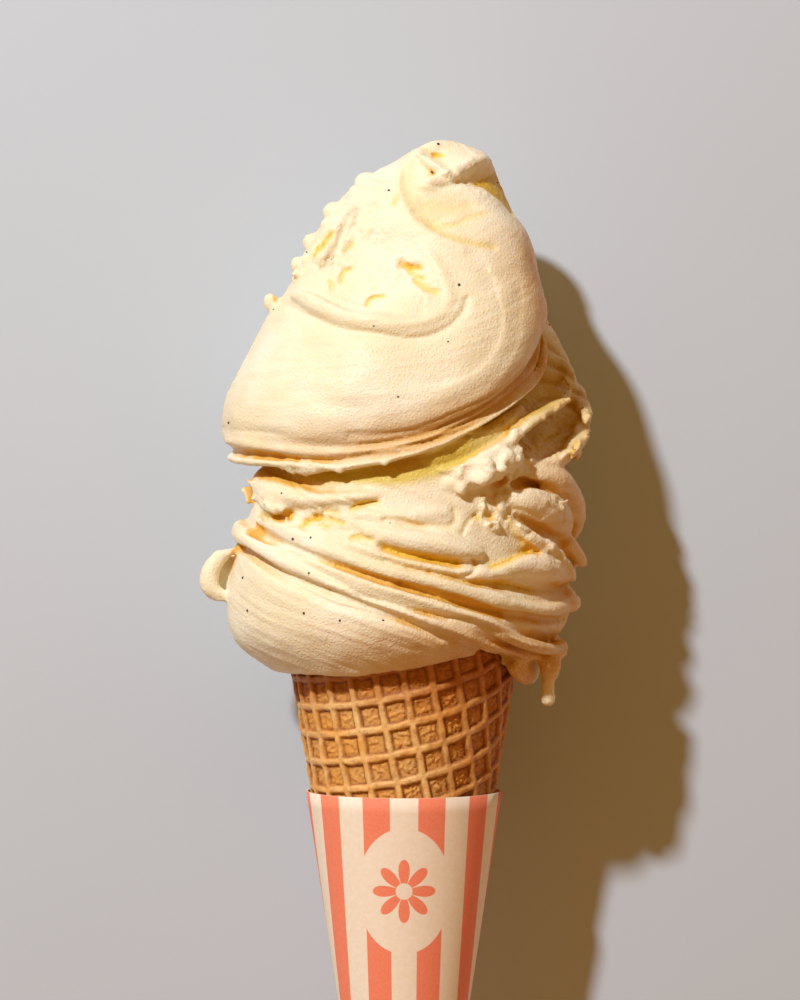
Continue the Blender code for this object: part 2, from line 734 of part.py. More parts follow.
def skirt_and_drips(mass):
    """The skirt that hangs out on the shown right with its drips, and the looped drip on the left."""
    mass.roll(
        [
            (52, 1.8, 28.6, 2.2, 2),
            (62, 0, 28.2, 2.8, 2.2),
            (72, -0.8, 28, 3.2, 2.2),
            (82, -0.4, 28, 3, 2.2),
            (94, 0.8, 28, 2.4, 2),
        ]
    )
    mass.lump((33, 3.6, 11), (2.6, 1.8, 4))
    mass.cord(
        [
            (31.4, 4, 12),
            (31.6, 0, 11.6),
            (31.2, -3.4, 11),
            (31.3, -6.8, 10.6),
        ],
        [3, 2.4, 1.5, 1.4],
    )
    mass.lump((31.3, -6.4, 10.6), (1.6, 1.9, 1.6))
    mass.cord(
        [
            (-36, 26.6, 4),
            (-39, 25, 4),
            (-41.3, 22.6, 4),
            (-42.4, 20.2, 4),
            (-42.5, 17.6, 4),
            (-41, 15.9, 4),
            (-38.8, 15.4, 4),
            (-36.4, 16, 4),
        ],
        [1.5, 1.7, 1.9, 2.1, 2.1, 1.7, 1.2, 1.1],
    )
    mass.lump((-38.6, 20, 0.2), (3, 4.6, 1.4))


def build_mass():
    mass = Mass()
    upper_mound(mass)
    second_layer(mass)
    lower_mound(mass)
    return mass


# Strokes pressed into the surface, as (name, width, depth, [(angle, height)])
STROKES = [
    ("crease over the big lobe", 0.8, -1.7, [
        (-118, 28.4), (-90, 27.2), (-72, 25.6), (-61, 24.3), (-47, 21), (-32, 18), (-20, 15.4),
        (-9, 12.9), (-1, 11.2), (9, 8.7), (21, 6.3), (36, 3.6), (52, 1.4),
    ]),
    ("crease in the lower band", 0.6, -1.2, [
        (-44, 25.2), (-26, 20.4), (-15, 16.8), (-4, 14.6), (9, 12.5), (24, 10.4), (38, 7.8),
        (54, 5.4), (72, 4.2),
    ]),
    ("crease under the upper band", 0.7, -1.7, [
        (-66, 30.2), (-57, 28.8), (-40, 26), (-21, 22.2), (-9, 19.6), (2, 17.9), (11, 16.5),
        (24, 14), (35, 12.2), (48, 10.8), (66, 10), (84, 10.2),
    ]),
    ("crease in the upper band", 0.55, -0.9, [
        (-36, 28.6), (-20, 25.6), (-6, 23), (8, 21.2), (24, 18.8), (40, 17.6), (58, 16.8),
        (80, 17.2),
    ]),
    ("crease between the lips", 0.7, -0.35, [
        (-88, 47.5), (-62, 46.7), (-44, 45.5), (-26, 44.6), (-7, 45.6), (9, 48.3), (23, 51.8),
        (39, 57), (56, 63), (66, 67),
    ]),
    ("crease over the lip", 0.9, -0.35, [
        (-85, 52), (-55, 51), (-26, 48), (0, 49.4), (16, 52.6), (31, 57), (46, 63), (56, 67), (66, 72.6),
    ]),
    ("dent beside the small nub", 2.6, -0.5, [(-38, 60), (-24, 57), (-14, 54.4)]),
    ("wing hollow", 2.6, -0.9, [(46, 47), (56, 49.4), (66, 52), (76, 55), (86, 60)]),
    ("wing fold", 0.8, -0.6, [(56, 57.6), (68, 61), (80, 66), (92, 72)]),
    ("crease over the right lobe", 0.8, -0.6, [(42, 39.6), (50, 39.8), (58, 38.6), (66, 36.8), (76, 34)]),
    ("back fold", 1.6, -0.9, [(100, 47.6), (140, 48), (180, 46.8), (220, 46.4), (255, 47)]),
    ("back swirl", 2.2, -1.2, [(105, 84), (140, 76), (175, 66.6), (210, 60), (245, 58)]),
    ("high back swirl", 2, -1, [(110, 100), (150, 95), (190, 88), (230, 83), (268, 81)]),
]

# Broad hollows as (name, angle, height, reach round the axis, reach along it, depth)
HOLLOWS = [
    ("torn hollow", -14, 86, 11.4, 9, 2.8),
    ("upper torn hollow", -22, 95, 7, 6, 1.2),
    ("bay under the skirt", 40, 0, 5, 2.4, 1),
]

# Lines pressed straight into the shown side, as (name, width on the left, width on the right, depth,
# [(x, height)])
FRONT_STROKES = [
    ("large pit", 0.7, 0.7, -1.5, [(-0.5, 86.7), (1.2, 86), (3.4, 85.8)]),
    ("crack of the large pit", 0.45, 0.45, -1.1, [(0.8, 86), (2.1, 84.3), (4.2, 83.4)]),
    ("left pit", 0.9, 0.8, -1.6, [(-15.8, 93.7), (-16.8, 92.4), (-17.9, 90.7)]),
    ("pit under the lump", 0.7, 0.8, -1.2, [(-21.3, 31.2), (-19.8, 32.1), (-18.3, 32.5)]),
    ("dark pit of the torn lump", 0.8, 0.9, -1.4, [(-30.2, 33.3), (-28.7, 32.7), (-27, 33.1)]),
    ("long slot", 0.9, 1, -1.5, [(-4.2, 26.4), (-0.9, 25.2), (3.3, 24.3), (7.5, 23.5), (10.9, 22.8)]),
    ("right slot", 0.8, 0.8, -1.2, [(18.3, 22.2), (21.3, 23.2), (23.8, 24.4), (26.2, 25.4)]),
    ("lower right slot", 0.9, 0.7, -1.2, [(19.2, 18.5), (22.9, 18), (26.9, 16.7)]),
    ("valley by the right lobe", 0.9, 0.9, -1.1, [(22.2, 32.3), (23.3, 29.9), (24.9, 28)]),
    ("dark pit under the right lobe", 0.6, 0.6, -1, [(33.6, 28.6), (35.4, 28.1)]),
]

# Hollows in the shown side with a sharp rim, as (name, depth, width of the rim's wall, [(x, height)],
# the gentle side as [(x, height)], width of its slope)
FRONT_HOLLOWS = [
    ("hollow under the curl", -4.2, 0.5, [
        (10, 105), (13.4, 107.4), (16.2, 109.4), (18.4, 110.8), (22, 112), (25, 104), (24, 97.4),
        (21, 100.8), (17, 103.6), (14, 104.4), (11.4, 104.4),
    ], [(9, 104.4), (13.4, 107.4), (16.2, 109.4), (18.4, 110.8), (22, 112)], 3.4),
]


def unrolled(points, middle, reach):
    """Points in space laid flat round the axis: along the turn, then along the axis."""
    turn = np.degrees(np.arctan2(points[:, 0], points[:, 2]))
    turn = (turn - middle + 180) % 360 - 180 + middle
    return np.stack([np.radians(turn) * reach, points[:, 1]], 1)


def line_distance(flat, line):
    """The distance from each flat point to a flat line."""
    best = np.full(len(flat), np.inf)
    for start, end in zip(line[:-1], line[1:]):
        step = end - start
        share = np.clip(((flat - start) @ step) / max(step @ step, 1e-9), 0, 1)
        best = np.minimum(best, np.linalg.norm(flat - start - share[:, None] * step, axis=1))
    return best


def surface_relief(points):
    """How far each point moves out along its normal."""
    reach = np.hypot(points[:, 0], points[:, 2])
    move = np.zeros(len(points))
    for _, width, depth, stroke in STROKES:
        stroke = np.array(stroke, float)
        middle = stroke[:, 0].mean()
        line = smooth_rows(stroke, 4 * len(stroke))
        line[:, 0] = np.radians(line[:, 0]) * 34
        away = line_distance(unrolled(points, middle, 34), line)
        move += depth * np.exp(-((away / width) ** 2))
    for _, angle, height, wide, tall, depth in HOLLOWS:
        flat = unrolled(points, angle, np.maximum(reach, 8))
        across = flat[:, 0] - np.radians(angle) * np.maximum(reach, 8)
        off = np.hypot(across / wide, (flat[:, 1] - height) / tall)
        move -= depth * np.exp(-(off**4))
    return move


def soft_noise(points, size, seed):
    """Smooth noise between about -1 and 1 with features of this size."""
    shift = Vector((seed * 17.3, seed * 5.1, seed * 9.7))
    return np.array([noise.noise(Vector(p) / size + shift) for p in points])


def mesh_object(name, points, faces):
    mesh = bpy.data.meshes.new(name)
    mesh.from_pydata([tuple(p) for p in points], [], faces)
    mesh.update()
    obj = bpy.data.objects.new(name, mesh)
    bpy.context.scene.collection.objects.link(obj)
    return obj


def apply_modifiers(obj):
    graph = bpy.context.evaluated_depsgraph_get()
    mesh = bpy.data.meshes.new_from_object(obj.evaluated_get(graph))
    old = obj.data
    obj.modifiers.clear()
    obj.data = mesh
    bpy.data.meshes.remove(old)


def mesh_points(obj):
    points = np.empty(len(obj.data.vertices) * 3)
    obj.data.vertices.foreach_get("co", points)
    return points.reshape(-1, 3)


def set_points(obj, points):
    obj.data.vertices.foreach_set("co", np.ascontiguousarray(points).ravel())
    obj.data.update()


def point_normals(obj):
    normals = np.empty(len(obj.data.vertices) * 3)
    obj.data.vertex_normals.foreach_get("vector", normals)
    return normals.reshape(-1, 3)


def keep_largest_piece(obj):
    """Drops every loose piece but the one with the most faces."""
    shape = bmesh.new()
    shape.from_mesh(obj.data)
    left = set(shape.faces)
    pieces = []
    while left:
        piece = [left.pop()]
        for face in piece:
            for edge in face.edges:
                for other in edge.link_faces:
                    if other in left:
                        left.remove(other)
                        piece.append(other)
        pieces.append(piece)
    pieces.sort(key=len, reverse=True)
    loose = [face for piece in pieces[1:] for face in piece]
    bmesh.ops.delete(shape, geom=loose, context="FACES")
    shape.to_mesh(obj.data)
    shape.free()


def fuse(name, mass, voxel):
    """One closed skin round all the shapes of the mass."""
    obj = mesh_object(name, mass.points, mass.faces)
    heal(obj, voxel)
    return obj


def heal(obj, voxel):
    """One clean skin again where carving folded the old one over itself."""
    remesh = obj.modifiers.new("heal", "REMESH")
    remesh.mode = "VOXEL"
    remesh.voxel_size = voxel
    apply_modifiers(obj)
    keep_largest_piece(obj)


def smooth(obj, factor, turns):
    modifier = obj.modifiers.new("smooth", "SMOOTH")
    modifier.factor = factor
    modifier.iterations = turns
    apply_modifiers(obj)


def carve(obj):
    """Presses the strokes, the hollows and a soft unevenness into the fused skin."""
    points = mesh_points(obj)
    uneven = 0.35 * soft_noise(points, 11, 1) + 0.16 * soft_noise(points, 4.5, 2)
    move = surface_relief(points) + uneven
    set_points(obj, points + point_normals(obj) * move[:, None])


def side_distance(flat, line):
    """The distance from each flat point to a flat line, and whether it is on the line's left."""
    best = np.full(len(flat), np.inf)
    left = np.zeros(len(flat), bool)
    for start, end in zip(line[:-1], line[1:]):
        step = end - start
        away = flat - start
        share = np.clip((away @ step) / max(step @ step, 1e-9), 0, 1)
        length = np.linalg.norm(away - share[:, None] * step, axis=1)
        nearer = length < best
        best = np.where(nearer, length, best)
        left = np.where(nearer, step[0] * away[:, 1] - step[1] * away[:, 0] > 0, left)
    return best, left


def inside_outline(flat, outline):
    """Whether each flat point lies inside a closed outline."""
    inside = np.zeros(len(flat), bool)
    for start, end in zip(outline, np.roll(outline, -1, axis=0)):
        crosses = (start[1] > flat[:, 1]) != (end[1] > flat[:, 1])
        rise = end[1] - start[1] if end[1] != start[1] else 1e-9
        inside ^= crosses & (flat[:, 0] < start[0] + (end[0] - start[0]) * (flat[:, 1] - start[1]) / rise)
    return inside


def stroke_share(points, facing, stroke):
    """The points near a front stroke, and how much of it each one takes."""
    _, wide_left, wide_right, _, line = stroke
    line = smooth_rows(line, 5 * len(line))
    margin = 3 * max(wide_left, wide_right)
    flat = points[:, :2]
    close = np.all((flat > line.min(0) - margin) & (flat < line.max(0) + margin), axis=1)
    near = np.flatnonzero(close & (facing > 0.05))
    away, left = side_distance(flat[near], line)
    share = np.exp(-((away / np.where(left, wide_left, wide_right)) ** 2))
    return near, share * np.clip((facing[near] - 0.05) / 0.3, 0, 1)


def hollow_share(points, facing, hollow):
    """The points inside a sharp-rimmed hollow, and how much of it each one takes."""
    _, _, wall, outline, slope, slope_width = hollow
    outline = np.array(outline, float)
    inside = np.flatnonzero(inside_outline(points[:, :2], outline) & (facing > 0))
    flat = points[inside, :2]
    from_rim = side_distance(flat, np.vstack([outline, outline[:1]]))[0]
    from_slope = side_distance(flat, np.array(slope, float))[0]
    share = np.minimum(np.clip(from_rim / wall, 0, 1), np.clip(from_slope / slope_width, 0, 1))
    return inside, share * np.clip(facing[inside] / 0.15, 0, 1)


def press_front(obj, strokes, hollows):
    """Presses lines and hollows into the shown side, straight from the front."""
    points = mesh_points(obj)
    facing = point_normals(obj)[:, 2]
    move = np.zeros(len(points))
    for stroke in strokes:
        near, share = stroke_share(points, facing, stroke)
        move[near] += stroke[3] * share
    for hollow in hollows:
        inside, share = hollow_share(points, facing, hollow)
        move[inside] += hollow[1] * share
    points[:, 2] += move
    set_points(obj, points)


def cut(obj, cutter, solver="EXACT"):
    boolean = obj.modifiers.new("cut", "BOOLEAN")
    boolean.operation = "DIFFERENCE"
    boolean.solver = solver
    boolean.object = cutter
    cutter.hide_render = True
    cutter.display_type = "WIRE"
    apply_modifiers(obj)
    old = cutter.data
    bpy.data.objects.remove(cutter)
    bpy.data.meshes.remove(old)


def flatten_back(obj):
    """Two small flat spots on the back, where the part rests."""
    points = mesh_points(obj)
    points[:, 2] = np.maximum(points[:, 2], -REST_DEPTH)
    set_points(obj, points)


def material(name, colour, roughness):
    new = bpy.data.materials.new(name)
    new.use_nodes = True
    shader = new.node_tree.nodes["Principled BSDF"]
    shader.inputs["Base Color"].default_value = (*colour, 1)
    shader.inputs["Roughness"].default_value = roughness
    return new


def finish(obj, name, colour, roughness):
    """Names the piece, puts it in place in metres, shades it smooth and gives it its material."""
    set_points(obj, (mesh_points(obj) + PLACE) * MM)
    obj.name = name
    obj.data.name = name
    obj.data.materials.clear()
    obj.data.materials.append(material(name, colour, roughness))
    obj.data.polygons.foreach_set("use_smooth", [True] * len(obj.data.polygons))


def turned(rows, sides, step=0.0, seam=180.0):
    """Rings of a turned shape from (height, radius) rows. A step makes the radius fall from the seam."""
    degrees = seam - 360 + 360 * np.arange(sides) / (sides - 1 if step else sides)
    share = (degrees - (seam - 360)) / 360
    rings = []
    for height, radius in rows:
        reach = radius + (step * (0.5 - share) if radius > 3 else 0)
        x = reach * np.sin(np.radians(degrees))
        z = reach * np.cos(np.radians(degrees))
        rings.append(np.stack([x, 0 * x + height, z], 1))
    return np.array(rings)


def cone_radius(height):
    return CONE_RADIUS + CONE_TAPER * height


def ice_cream():
    obj = fuse("ice_cream", build_mass(), VOXEL)
    smooth(obj, 0.5, 1)
    carve(obj)
    press_front(obj, FRONT_STROKES, FRONT_HOLLOWS)
    heal(obj, VOXEL)
    thin = obj.modifiers.new("thin", "DECIMATE")
    thin.ratio = ICE_CREAM_TRIANGLES / (2 * len(obj.data.polygons))
    apply_modifiers(obj)
    flatten_back(obj)
    socket = Mass()
    top = CONE_TOP + SOCKET_GAP
    clear = SOCKET_GAP + ROLL_STEP / 2
    rows = [(-40, cone_radius(-40) + clear), (top, cone_radius(top) + clear)]
    socket.add_rings(turned(rows, CONE_SIDES))
    cutter = mesh_object("socket", socket.points, socket.faces)
    cut(obj, cutter)
    keep_largest_piece(obj)
    finish(obj, "ice_cream", (0.93, 0.84, 0.62), 0.45)


def waffle_point(u, v, out):
    """A point of the flat waffle sheet, rolled onto the cone and moved out from it."""
    slope = math.atan(CONE_TAPER)
    apex = -CONE_RADIUS / CONE_TAPER
    slant = math.hypot(u, v)
    turn = math.radians(SHEET_EDGE) + math.atan2(u, v) / math.sin(slope)
    radius = slant * math.sin(slope) + out * math.cos(slope)
    height = apex + slant * math.cos(slope) - out * math.sin(slope)
    return (radius * math.sin(turn), height, radius * math.cos(turn))


def waffle_cells():
    """The middles of the square cells of the flat sheet that the relief covers."""
    slope = math.atan(CONE_TAPER)
    apex = -CONE_RADIUS / CONE_TAPER
    cells = []
    for column in range(-20, 40):
        for row in range(5, 40):
            u = (column + 0.5) * WAFFLE_PITCH + WAFFLE_SHIFT[0]
            v = (row + 0.5) * WAFFLE_PITCH + WAFFLE_SHIFT[1]
            height = apex + math.hypot(u, v) * math.cos(slope)
            turn = SHEET_EDGE + math.degrees(math.atan2(u, v) / math.sin(slope))
            if RELIEF_BOTTOM < height < RELIEF_TOP and -171 < turn < 171:
                cells.append((u, v))
    return cells


def pocket_faces(first):
    """A block of eight corners: four outside, then four inside."""
    a = first
    return [
        (a, a + 1, a + 2, a + 3),
        (a + 7, a + 6, a + 5, a + 4),
        (a, a + 4, a + 5, a + 1),
        (a + 1, a + 5, a + 6, a + 2),
        (a + 2, a + 6, a + 7, a + 3),
        (a + 3, a + 7, a + 4, a),
    ]


def waffle_cone():
    rows = [(CONE_TIP, 0.8), (CONE_TIP + 0.7, 1.6), (CONE_TIP + 2, cone_radius(CONE_TIP + 2) + 1.2)]
    rows += [(height, cone_radius(height)) for height in (CONE_TIP + 8, -70, CONE_TOP)]
    body = Mass()
    body.add_rings(turned(rows, CONE_SIDES + 1, ROLL_STEP))
    obj = mesh_object("waffle_cone", body.points, body.faces)
    points, faces = [], []
    for u, v in waffle_cells():
        faces += pocket_faces(len(points))
        outer = (WAFFLE_PITCH - WAFFLE_RIDGE) / 2 + POCKET_SLOPE
        inner = (WAFFLE_PITCH - WAFFLE_RIDGE) / 2 - POCKET_SLOPE
        for half, out in ((outer, 1.0), (inner, -POCKET_DEPTH)):
            for across, along in ((-1, -1), (1, -1), (1, 1), (-1, 1)):
                points.append(waffle_point(u + half * across, v + half * along, out))
    cutter = mesh_object("pockets", points, faces)
    cut(obj, cutter)
    finish(obj, "waffle_cone", (0.62, 0.32, 0.10), 0.6)
    obj.data.polygons.foreach_set("use_smooth", [False] * len(obj.data.polygons))


def sleeve_radius(height):
    return SLEEVE_RADIUS + SLEEVE_TAPER * (height - SLEEVE_RIM)


def paper_sleeve():
    """A thin open cone of paper with a closed tip."""
    shoulder, floor = SLEEVE_TIP + 0.8, SLEEVE_TIP + 1.2
    rows = [(SLEEVE_TIP, 0.9), (shoulder, sleeve_radius(shoulder)), (SLEEVE_RIM, SLEEVE_RADIUS)]
    rows += [(SLEEVE_RIM, SLEEVE_RADIUS - PAPER), (floor, sleeve_radius(floor) - PAPER), (floor, 0.3)]
    body = Mass()
    body.add_rings(turned(rows, SLEEVE_SIDES))
    obj = mesh_object("paper_sleeve", body.points, body.faces)
    finish(obj, "paper_sleeve", (0.90, 0.55, 0.42), 0.7)


def build():
    for old in list(bpy.data.objects):
        bpy.data.objects.remove(old)
    ice_cream()
    waffle_cone()
    paper_sleeve()


build()
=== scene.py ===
import math

import bmesh
import bpy
import numpy as np
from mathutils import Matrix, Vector, noise
from mathutils.bvhtree import BVHTree


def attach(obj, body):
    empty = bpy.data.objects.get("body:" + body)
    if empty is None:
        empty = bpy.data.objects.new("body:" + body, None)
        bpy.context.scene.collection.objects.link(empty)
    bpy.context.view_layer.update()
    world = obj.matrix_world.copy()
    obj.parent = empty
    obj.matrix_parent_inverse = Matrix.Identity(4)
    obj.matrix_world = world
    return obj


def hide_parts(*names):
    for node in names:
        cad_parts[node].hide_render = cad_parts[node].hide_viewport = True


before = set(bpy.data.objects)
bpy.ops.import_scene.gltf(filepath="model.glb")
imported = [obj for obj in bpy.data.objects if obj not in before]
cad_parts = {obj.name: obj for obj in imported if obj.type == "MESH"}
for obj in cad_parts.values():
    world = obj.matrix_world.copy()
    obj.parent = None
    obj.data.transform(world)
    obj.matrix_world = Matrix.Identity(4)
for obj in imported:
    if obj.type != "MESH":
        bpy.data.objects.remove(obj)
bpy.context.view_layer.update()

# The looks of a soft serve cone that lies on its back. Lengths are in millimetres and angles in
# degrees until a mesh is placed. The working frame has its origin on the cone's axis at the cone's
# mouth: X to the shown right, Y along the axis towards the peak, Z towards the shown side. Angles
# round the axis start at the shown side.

MM = 0.001

# The row frame's origin is under the middle of the part's box, on the plane that it rests on.
REST_DEPTH = 35.0
PLACE = np.array([1.7, 20.6, REST_DEPTH])

# Waffle cone
CONE_TOP = 6.0
CONE_TIP = -146.0
CONE_RADIUS = 25.1
CONE_TAPER = 0.167
CONE_SIDES = 48
SOCKET_GAP = 0.3
WAFFLE_PITCH = 6.1
WAFFLE_RIDGE = 1.35
POCKET_DEPTH = 1.1
POCKET_SLOPE = 0.4
WAFFLE_SHIFT = (0.3, -2.8)
SHEET_EDGE = -72.0
ROLL_STEP = 0.6
RELIEF_BOTTOM = -33.0
WAFFLE_SIDES = 520
WAFFLE_STEP = 0.30

# Paper sleeve
SLEEVE_RIM = -27.6
SLEEVE_RADIUS = 21.5
SLEEVE_TAPER = 0.152
SLEEVE_TIP = -156.5
PAPER = 0.4
SLEEVE_SIDES = 180

# Ice cream
FINE_VOXEL = 0.45
SURFACE_TRIANGLES = 190000
CAVITY_RAYS = 14
CAVITY_REACH = 16.0
PEAK_HEIGHT = 114.9
UNROLL_RADIUS = 34
SHOULDER = 0.68


def smooth_rows(rows, count):
    """A smooth curve through the rows, read at this many even steps."""
    rows = np.asarray(rows, float)
    last = len(rows) - 1
    steps = np.linspace(0, last, count)
    index = np.minimum(steps.astype(int), last - 1)
    t = (steps - index)[:, None]
    before, start = rows[np.maximum(index - 1, 0)], rows[index]
    end, after = rows[index + 1], rows[np.minimum(index + 2, last)]
    return 0.5 * (
        2 * start
        + (end - before) * t
        + (2 * before - 5 * start + 4 * end - after) * t**2
        + (3 * start - before - 3 * end + after) * t**3
    )


def tube_faces(rings, sides, first):
    """Quads between rings of points, with a fan to the pole point at each end."""
    faces = []
    for ring in range(rings - 1):
        for side in range(sides):
            a = first + ring * sides + side
            b = first + ring * sides + (side + 1) % sides
            faces.append((a, b, b + sides, a + sides))
    low, high = first + rings * sides, first + rings * sides + 1
    for side in range(sides):
        a, b = side, (side + 1) % sides
        faces.append((first + b, first + a, low))
        faces.append((first + (rings - 1) * sides + a, first + (rings - 1) * sides + b, high))
    return faces


def closed_line(points, degrees):
    """The value at each angle of a closed line of (angle, value) round the axis."""
    points = np.asarray(points, float)
    angles = np.concatenate([points[:, 0] - 360, points[:, 0], points[:, 0] + 360])
    return np.interp(degrees, angles, np.tile(points[:, 1], 3))


class Mass:
    """Closed shapes collected as one set of points and faces, before they are fused."""

    def __init__(self):
        self.points = []
        self.faces = []

    def add_rings(self, rings):
        """rings is (rings, sides, 3). Each end is closed at the middle of its ring."""
        count, sides, _ = rings.shape
        first = len(self.points)
        self.points.extend(map(tuple, rings.reshape(-1, 3)))
        self.points.append(tuple(rings[0].mean(0)))
        self.points.append(tuple(rings[-1].mean(0)))
        self.faces.extend(tube_faces(count, sides, first))

    def mound(self, stations, sides=56, steps=48, lift=((0, 0),), lift_top=10):
        """A rounded body along the axis.

        A station is (height, middle x, half width, middle z, half depth). The lower end rises by
        lift, a closed line of (angle, lift) that fades out at lift_top.
        """
        rows = smooth_rows(stations, steps)
        angles = np.linspace(0, 2 * math.pi, sides, endpoint=False)
        height, mid_x, half_x, mid_z, half_z = (rows[:, k][:, None] for k in range(5))
        half_x, half_z = np.maximum(half_x, 0.05), np.maximum(half_z, 0.05)
        x = mid_x + half_x * np.sin(angles)
        z = mid_z + half_z * np.cos(angles)
        raised = closed_line(lift, (np.degrees(angles) + 180) % 360 - 180)
        share = np.clip((lift_top - height) / (lift_top - height[0]), 0, 1)
        self.add_rings(np.stack([x, height + raised * share, z], 2))

    def tilted_mound(self, stations, low_edge, top, rounding, sides=96, steps=72):
        """A mound whose lower edge follows low_edge, a closed line of (angle, height) round the axis.

        It draws in over the lower edge as rounding says, a closed line of (angle, height, how far).
        Its shown right shoulder is square: SHOULDER is 1 for a round one and less for a squarer one.
        """
        rows = smooth_rows(stations, 200)
        share = np.linspace(0, 1, steps)[:, None] ** 1.6
        degrees = np.linspace(-180, 180, sides, endpoint=False)
        low = closed_line(low_edge, degrees)
        height = low + share * (top - low)
        mid_x, half_x, mid_z, half_z = (np.interp(height, rows[:, 0], rows[:, k]) for k in range(1, 5))
        tall = closed_line([row[:2] for row in rounding], degrees)
        drawn_in = closed_line([(row[0], row[2]) for row in rounding], degrees)
        near = np.clip((height - low) / tall, 0, 1)
        swell = 1 - drawn_in * (1 - np.sqrt(1 - (1 - near) ** 2))
        across, facing = np.sin(np.radians(degrees)), np.cos(np.radians(degrees))
        square = (across > 0) & (facing > 0)
        x = mid_x + swell * half_x * np.where(square, np.abs(across) ** SHOULDER, across)
        z = mid_z + swell * half_z * np.where(square, np.abs(facing) ** SHOULDER, facing)
        self.add_rings(np.stack([x, height, z], 2))

    def roll(self, stations, sides=20, steps=40):
        """A round-ended roll of soft cream.

        A station is (angle, height, reach, half height, half thickness). The reach is from the axis
        to the middle of the roll.
        """
        rows = smooth_rows(stations, steps)
        angle = np.radians(rows[:, 0])
        out = np.stack([np.sin(angle), 0 * angle, np.cos(angle)], 1)
        middle = out * rows[:, 2:3]
        middle[:, 1] = rows[:, 1]
        self.strand(middle, out, rows[:, 3], rows[:, 4], sides)

    def strand(self, middle, out, tall, thick, sides=20):
        """A strand along the points of middle, with its flat side facing out and both ends rounded."""
        along = np.gradient(middle, axis=0)
        along /= np.linalg.norm(along, axis=1, keepdims=True)
        across = np.cross(out, along)
        across /= np.linalg.norm(across, axis=1, keepdims=True)
        outward = np.cross(along, across)
        share = np.linspace(-1, 1, len(middle))
        ends = np.sqrt(np.clip(1 - np.abs(share) ** 6, 0.0025, 1))[:, None, None]
        turn = np.linspace(0, 2 * math.pi, sides, endpoint=False)[None, :, None]
        tall, thick = tall[:, None, None], thick[:, None, None]
        high, deep = tall * np.sin(turn), thick * np.cos(turn)
        section = ends * (high * across[:, None] + deep * outward[:, None])
        self.add_rings(middle[:, None] + section)

    def cord(self, points, radii, sides=14, steps=24):
        """A round strand through points in space, such as a drip or a finger of cream."""
        rows = smooth_rows(np.column_stack([points, radii]), steps)
        along = np.gradient(rows[:, :3], axis=0)
        side = np.cross(along, np.array([0.31, 0.17, 0.93]))
        side /= np.linalg.norm(side, axis=1, keepdims=True)
        self.strand(rows[:, :3], side, rows[:, 3], rows[:, 3], sides)

    def crumbs(self, stations, count, spread, size, seed):
        """Small torn bits scattered about a line of (angle, height, reach) rows."""
        draw = np.random.default_rng(seed)
        rows = smooth_rows(stations, 50)
        for row in rows[draw.integers(len(rows), size=count)]:
            angle = math.radians(row[0])
            middle = np.array([row[2] * math.sin(angle), row[1], row[2] * math.cos(angle)])
            middle += draw.normal(0, spread, 3)
            self.lump(middle, size * draw.uniform(0.55, 1.25, 3), 8, 10)

    def lump(self, middle, half, steps=12, sides=18):
        """An egg of cream with its half sizes along X, Y and Z."""
        latitude = np.linspace(-0.49 * math.pi, 0.49 * math.pi, steps)[:, None]
        turn = np.linspace(0, 2 * math.pi, sides, endpoint=False)[None, :]
        x = np.cos(latitude) * np.sin(turn)
        z = np.cos(latitude) * np.cos(turn)
        y = np.sin(latitude) + 0 * turn
        self.add_rings(np.stack([x, y, z], 2) * np.array(half) + np.array(middle))


# The lower edge of the top swirl round the axis, as (angle, height)
LIP = [
    (-150, 48), (-120, 47), (-90, 46.2), (-70, 45.2), (-48, 44), (-26, 43.2), (-5, 44.4), (9, 46.6),
    (16, 48.4), (23, 50.2), (31, 52.8), (39, 55.4), (47, 58.4), (56, 61.2), (64, 64.2), (73, 68.2),
    (90, 73.4), (105, 74), (122, 70.4), (140, 64), (170, 55), (190, 50.4),
]

# How the top swirl draws in over that edge, as (angle, height of the curve, share of the radius)
LIP_ROUNDING = [
    (-110, 4.5, 0.2), (-75, 5, 0.18), (-50, 8, 0.15), (-25, 12, 0.16), (0, 14, 0.17), (40, 14, 0.17),
    (65, 12, 0.17), (90, 8, 0.18), (120, 4.5, 0.2), (180, 4.5, 0.2), (220, 4.5, 0.2),
]

# How far the lowest edge over the cone is lifted round the axis, as (angle, lift)
SKIRT_LIFT = [
    (-120, 0.8), (-90, 1), (-60, 1.2), (-40, 1.1), (-20, 0.9), (0, 2.2), (18, 3.3), (35, 4.8),
    (46, 4.2), (58, 2), (80, 1), (120, 0.6), (180, 0.4),
]


def upper_mound(mass):
    """The large smooth swirl on top, with its lips, its band, the curl at the peak and torn lumps."""
    stations = [
        (43, -4, 33.6, 0, 35), (47, -4.4, 35, 0, 36), (52, -4.5, 35.5, 0, 36.6),
        (58.5, -3.6, 35.4, 0, 36.5), (67.8, -1.4, 33.4, 0, 34.2), (77, 1, 30.7, 0, 30.8),
        (84, 2.5, 27.5, 0, 27.5), (93.5, 3.5, 24, 0, 23.4), (99, 3.9, 20.1, 0, 19.4),
        (102.5, 4.3, 18.2, 0, 17.2), (106, 5.6, 15.4, 0, 14.2), (108.5, 6.8, 13.4, 0, 11.8),
        (111, 9, 10.1, 0, 9.2), (113, 9.2, 7.6, 0, 6.8), (114.3, 8.2, 4, 0, 3.4),
        (114.9, 7.8, 0.5, 0, 0.5),
    ]
    mass.tilted_mound(stations, LIP, PEAK_HEIGHT, LIP_ROUNDING)
    upper_lips(mass)
    raised_band(mass)
    peak_curl(mass)
    left_edge_lumps(mass)


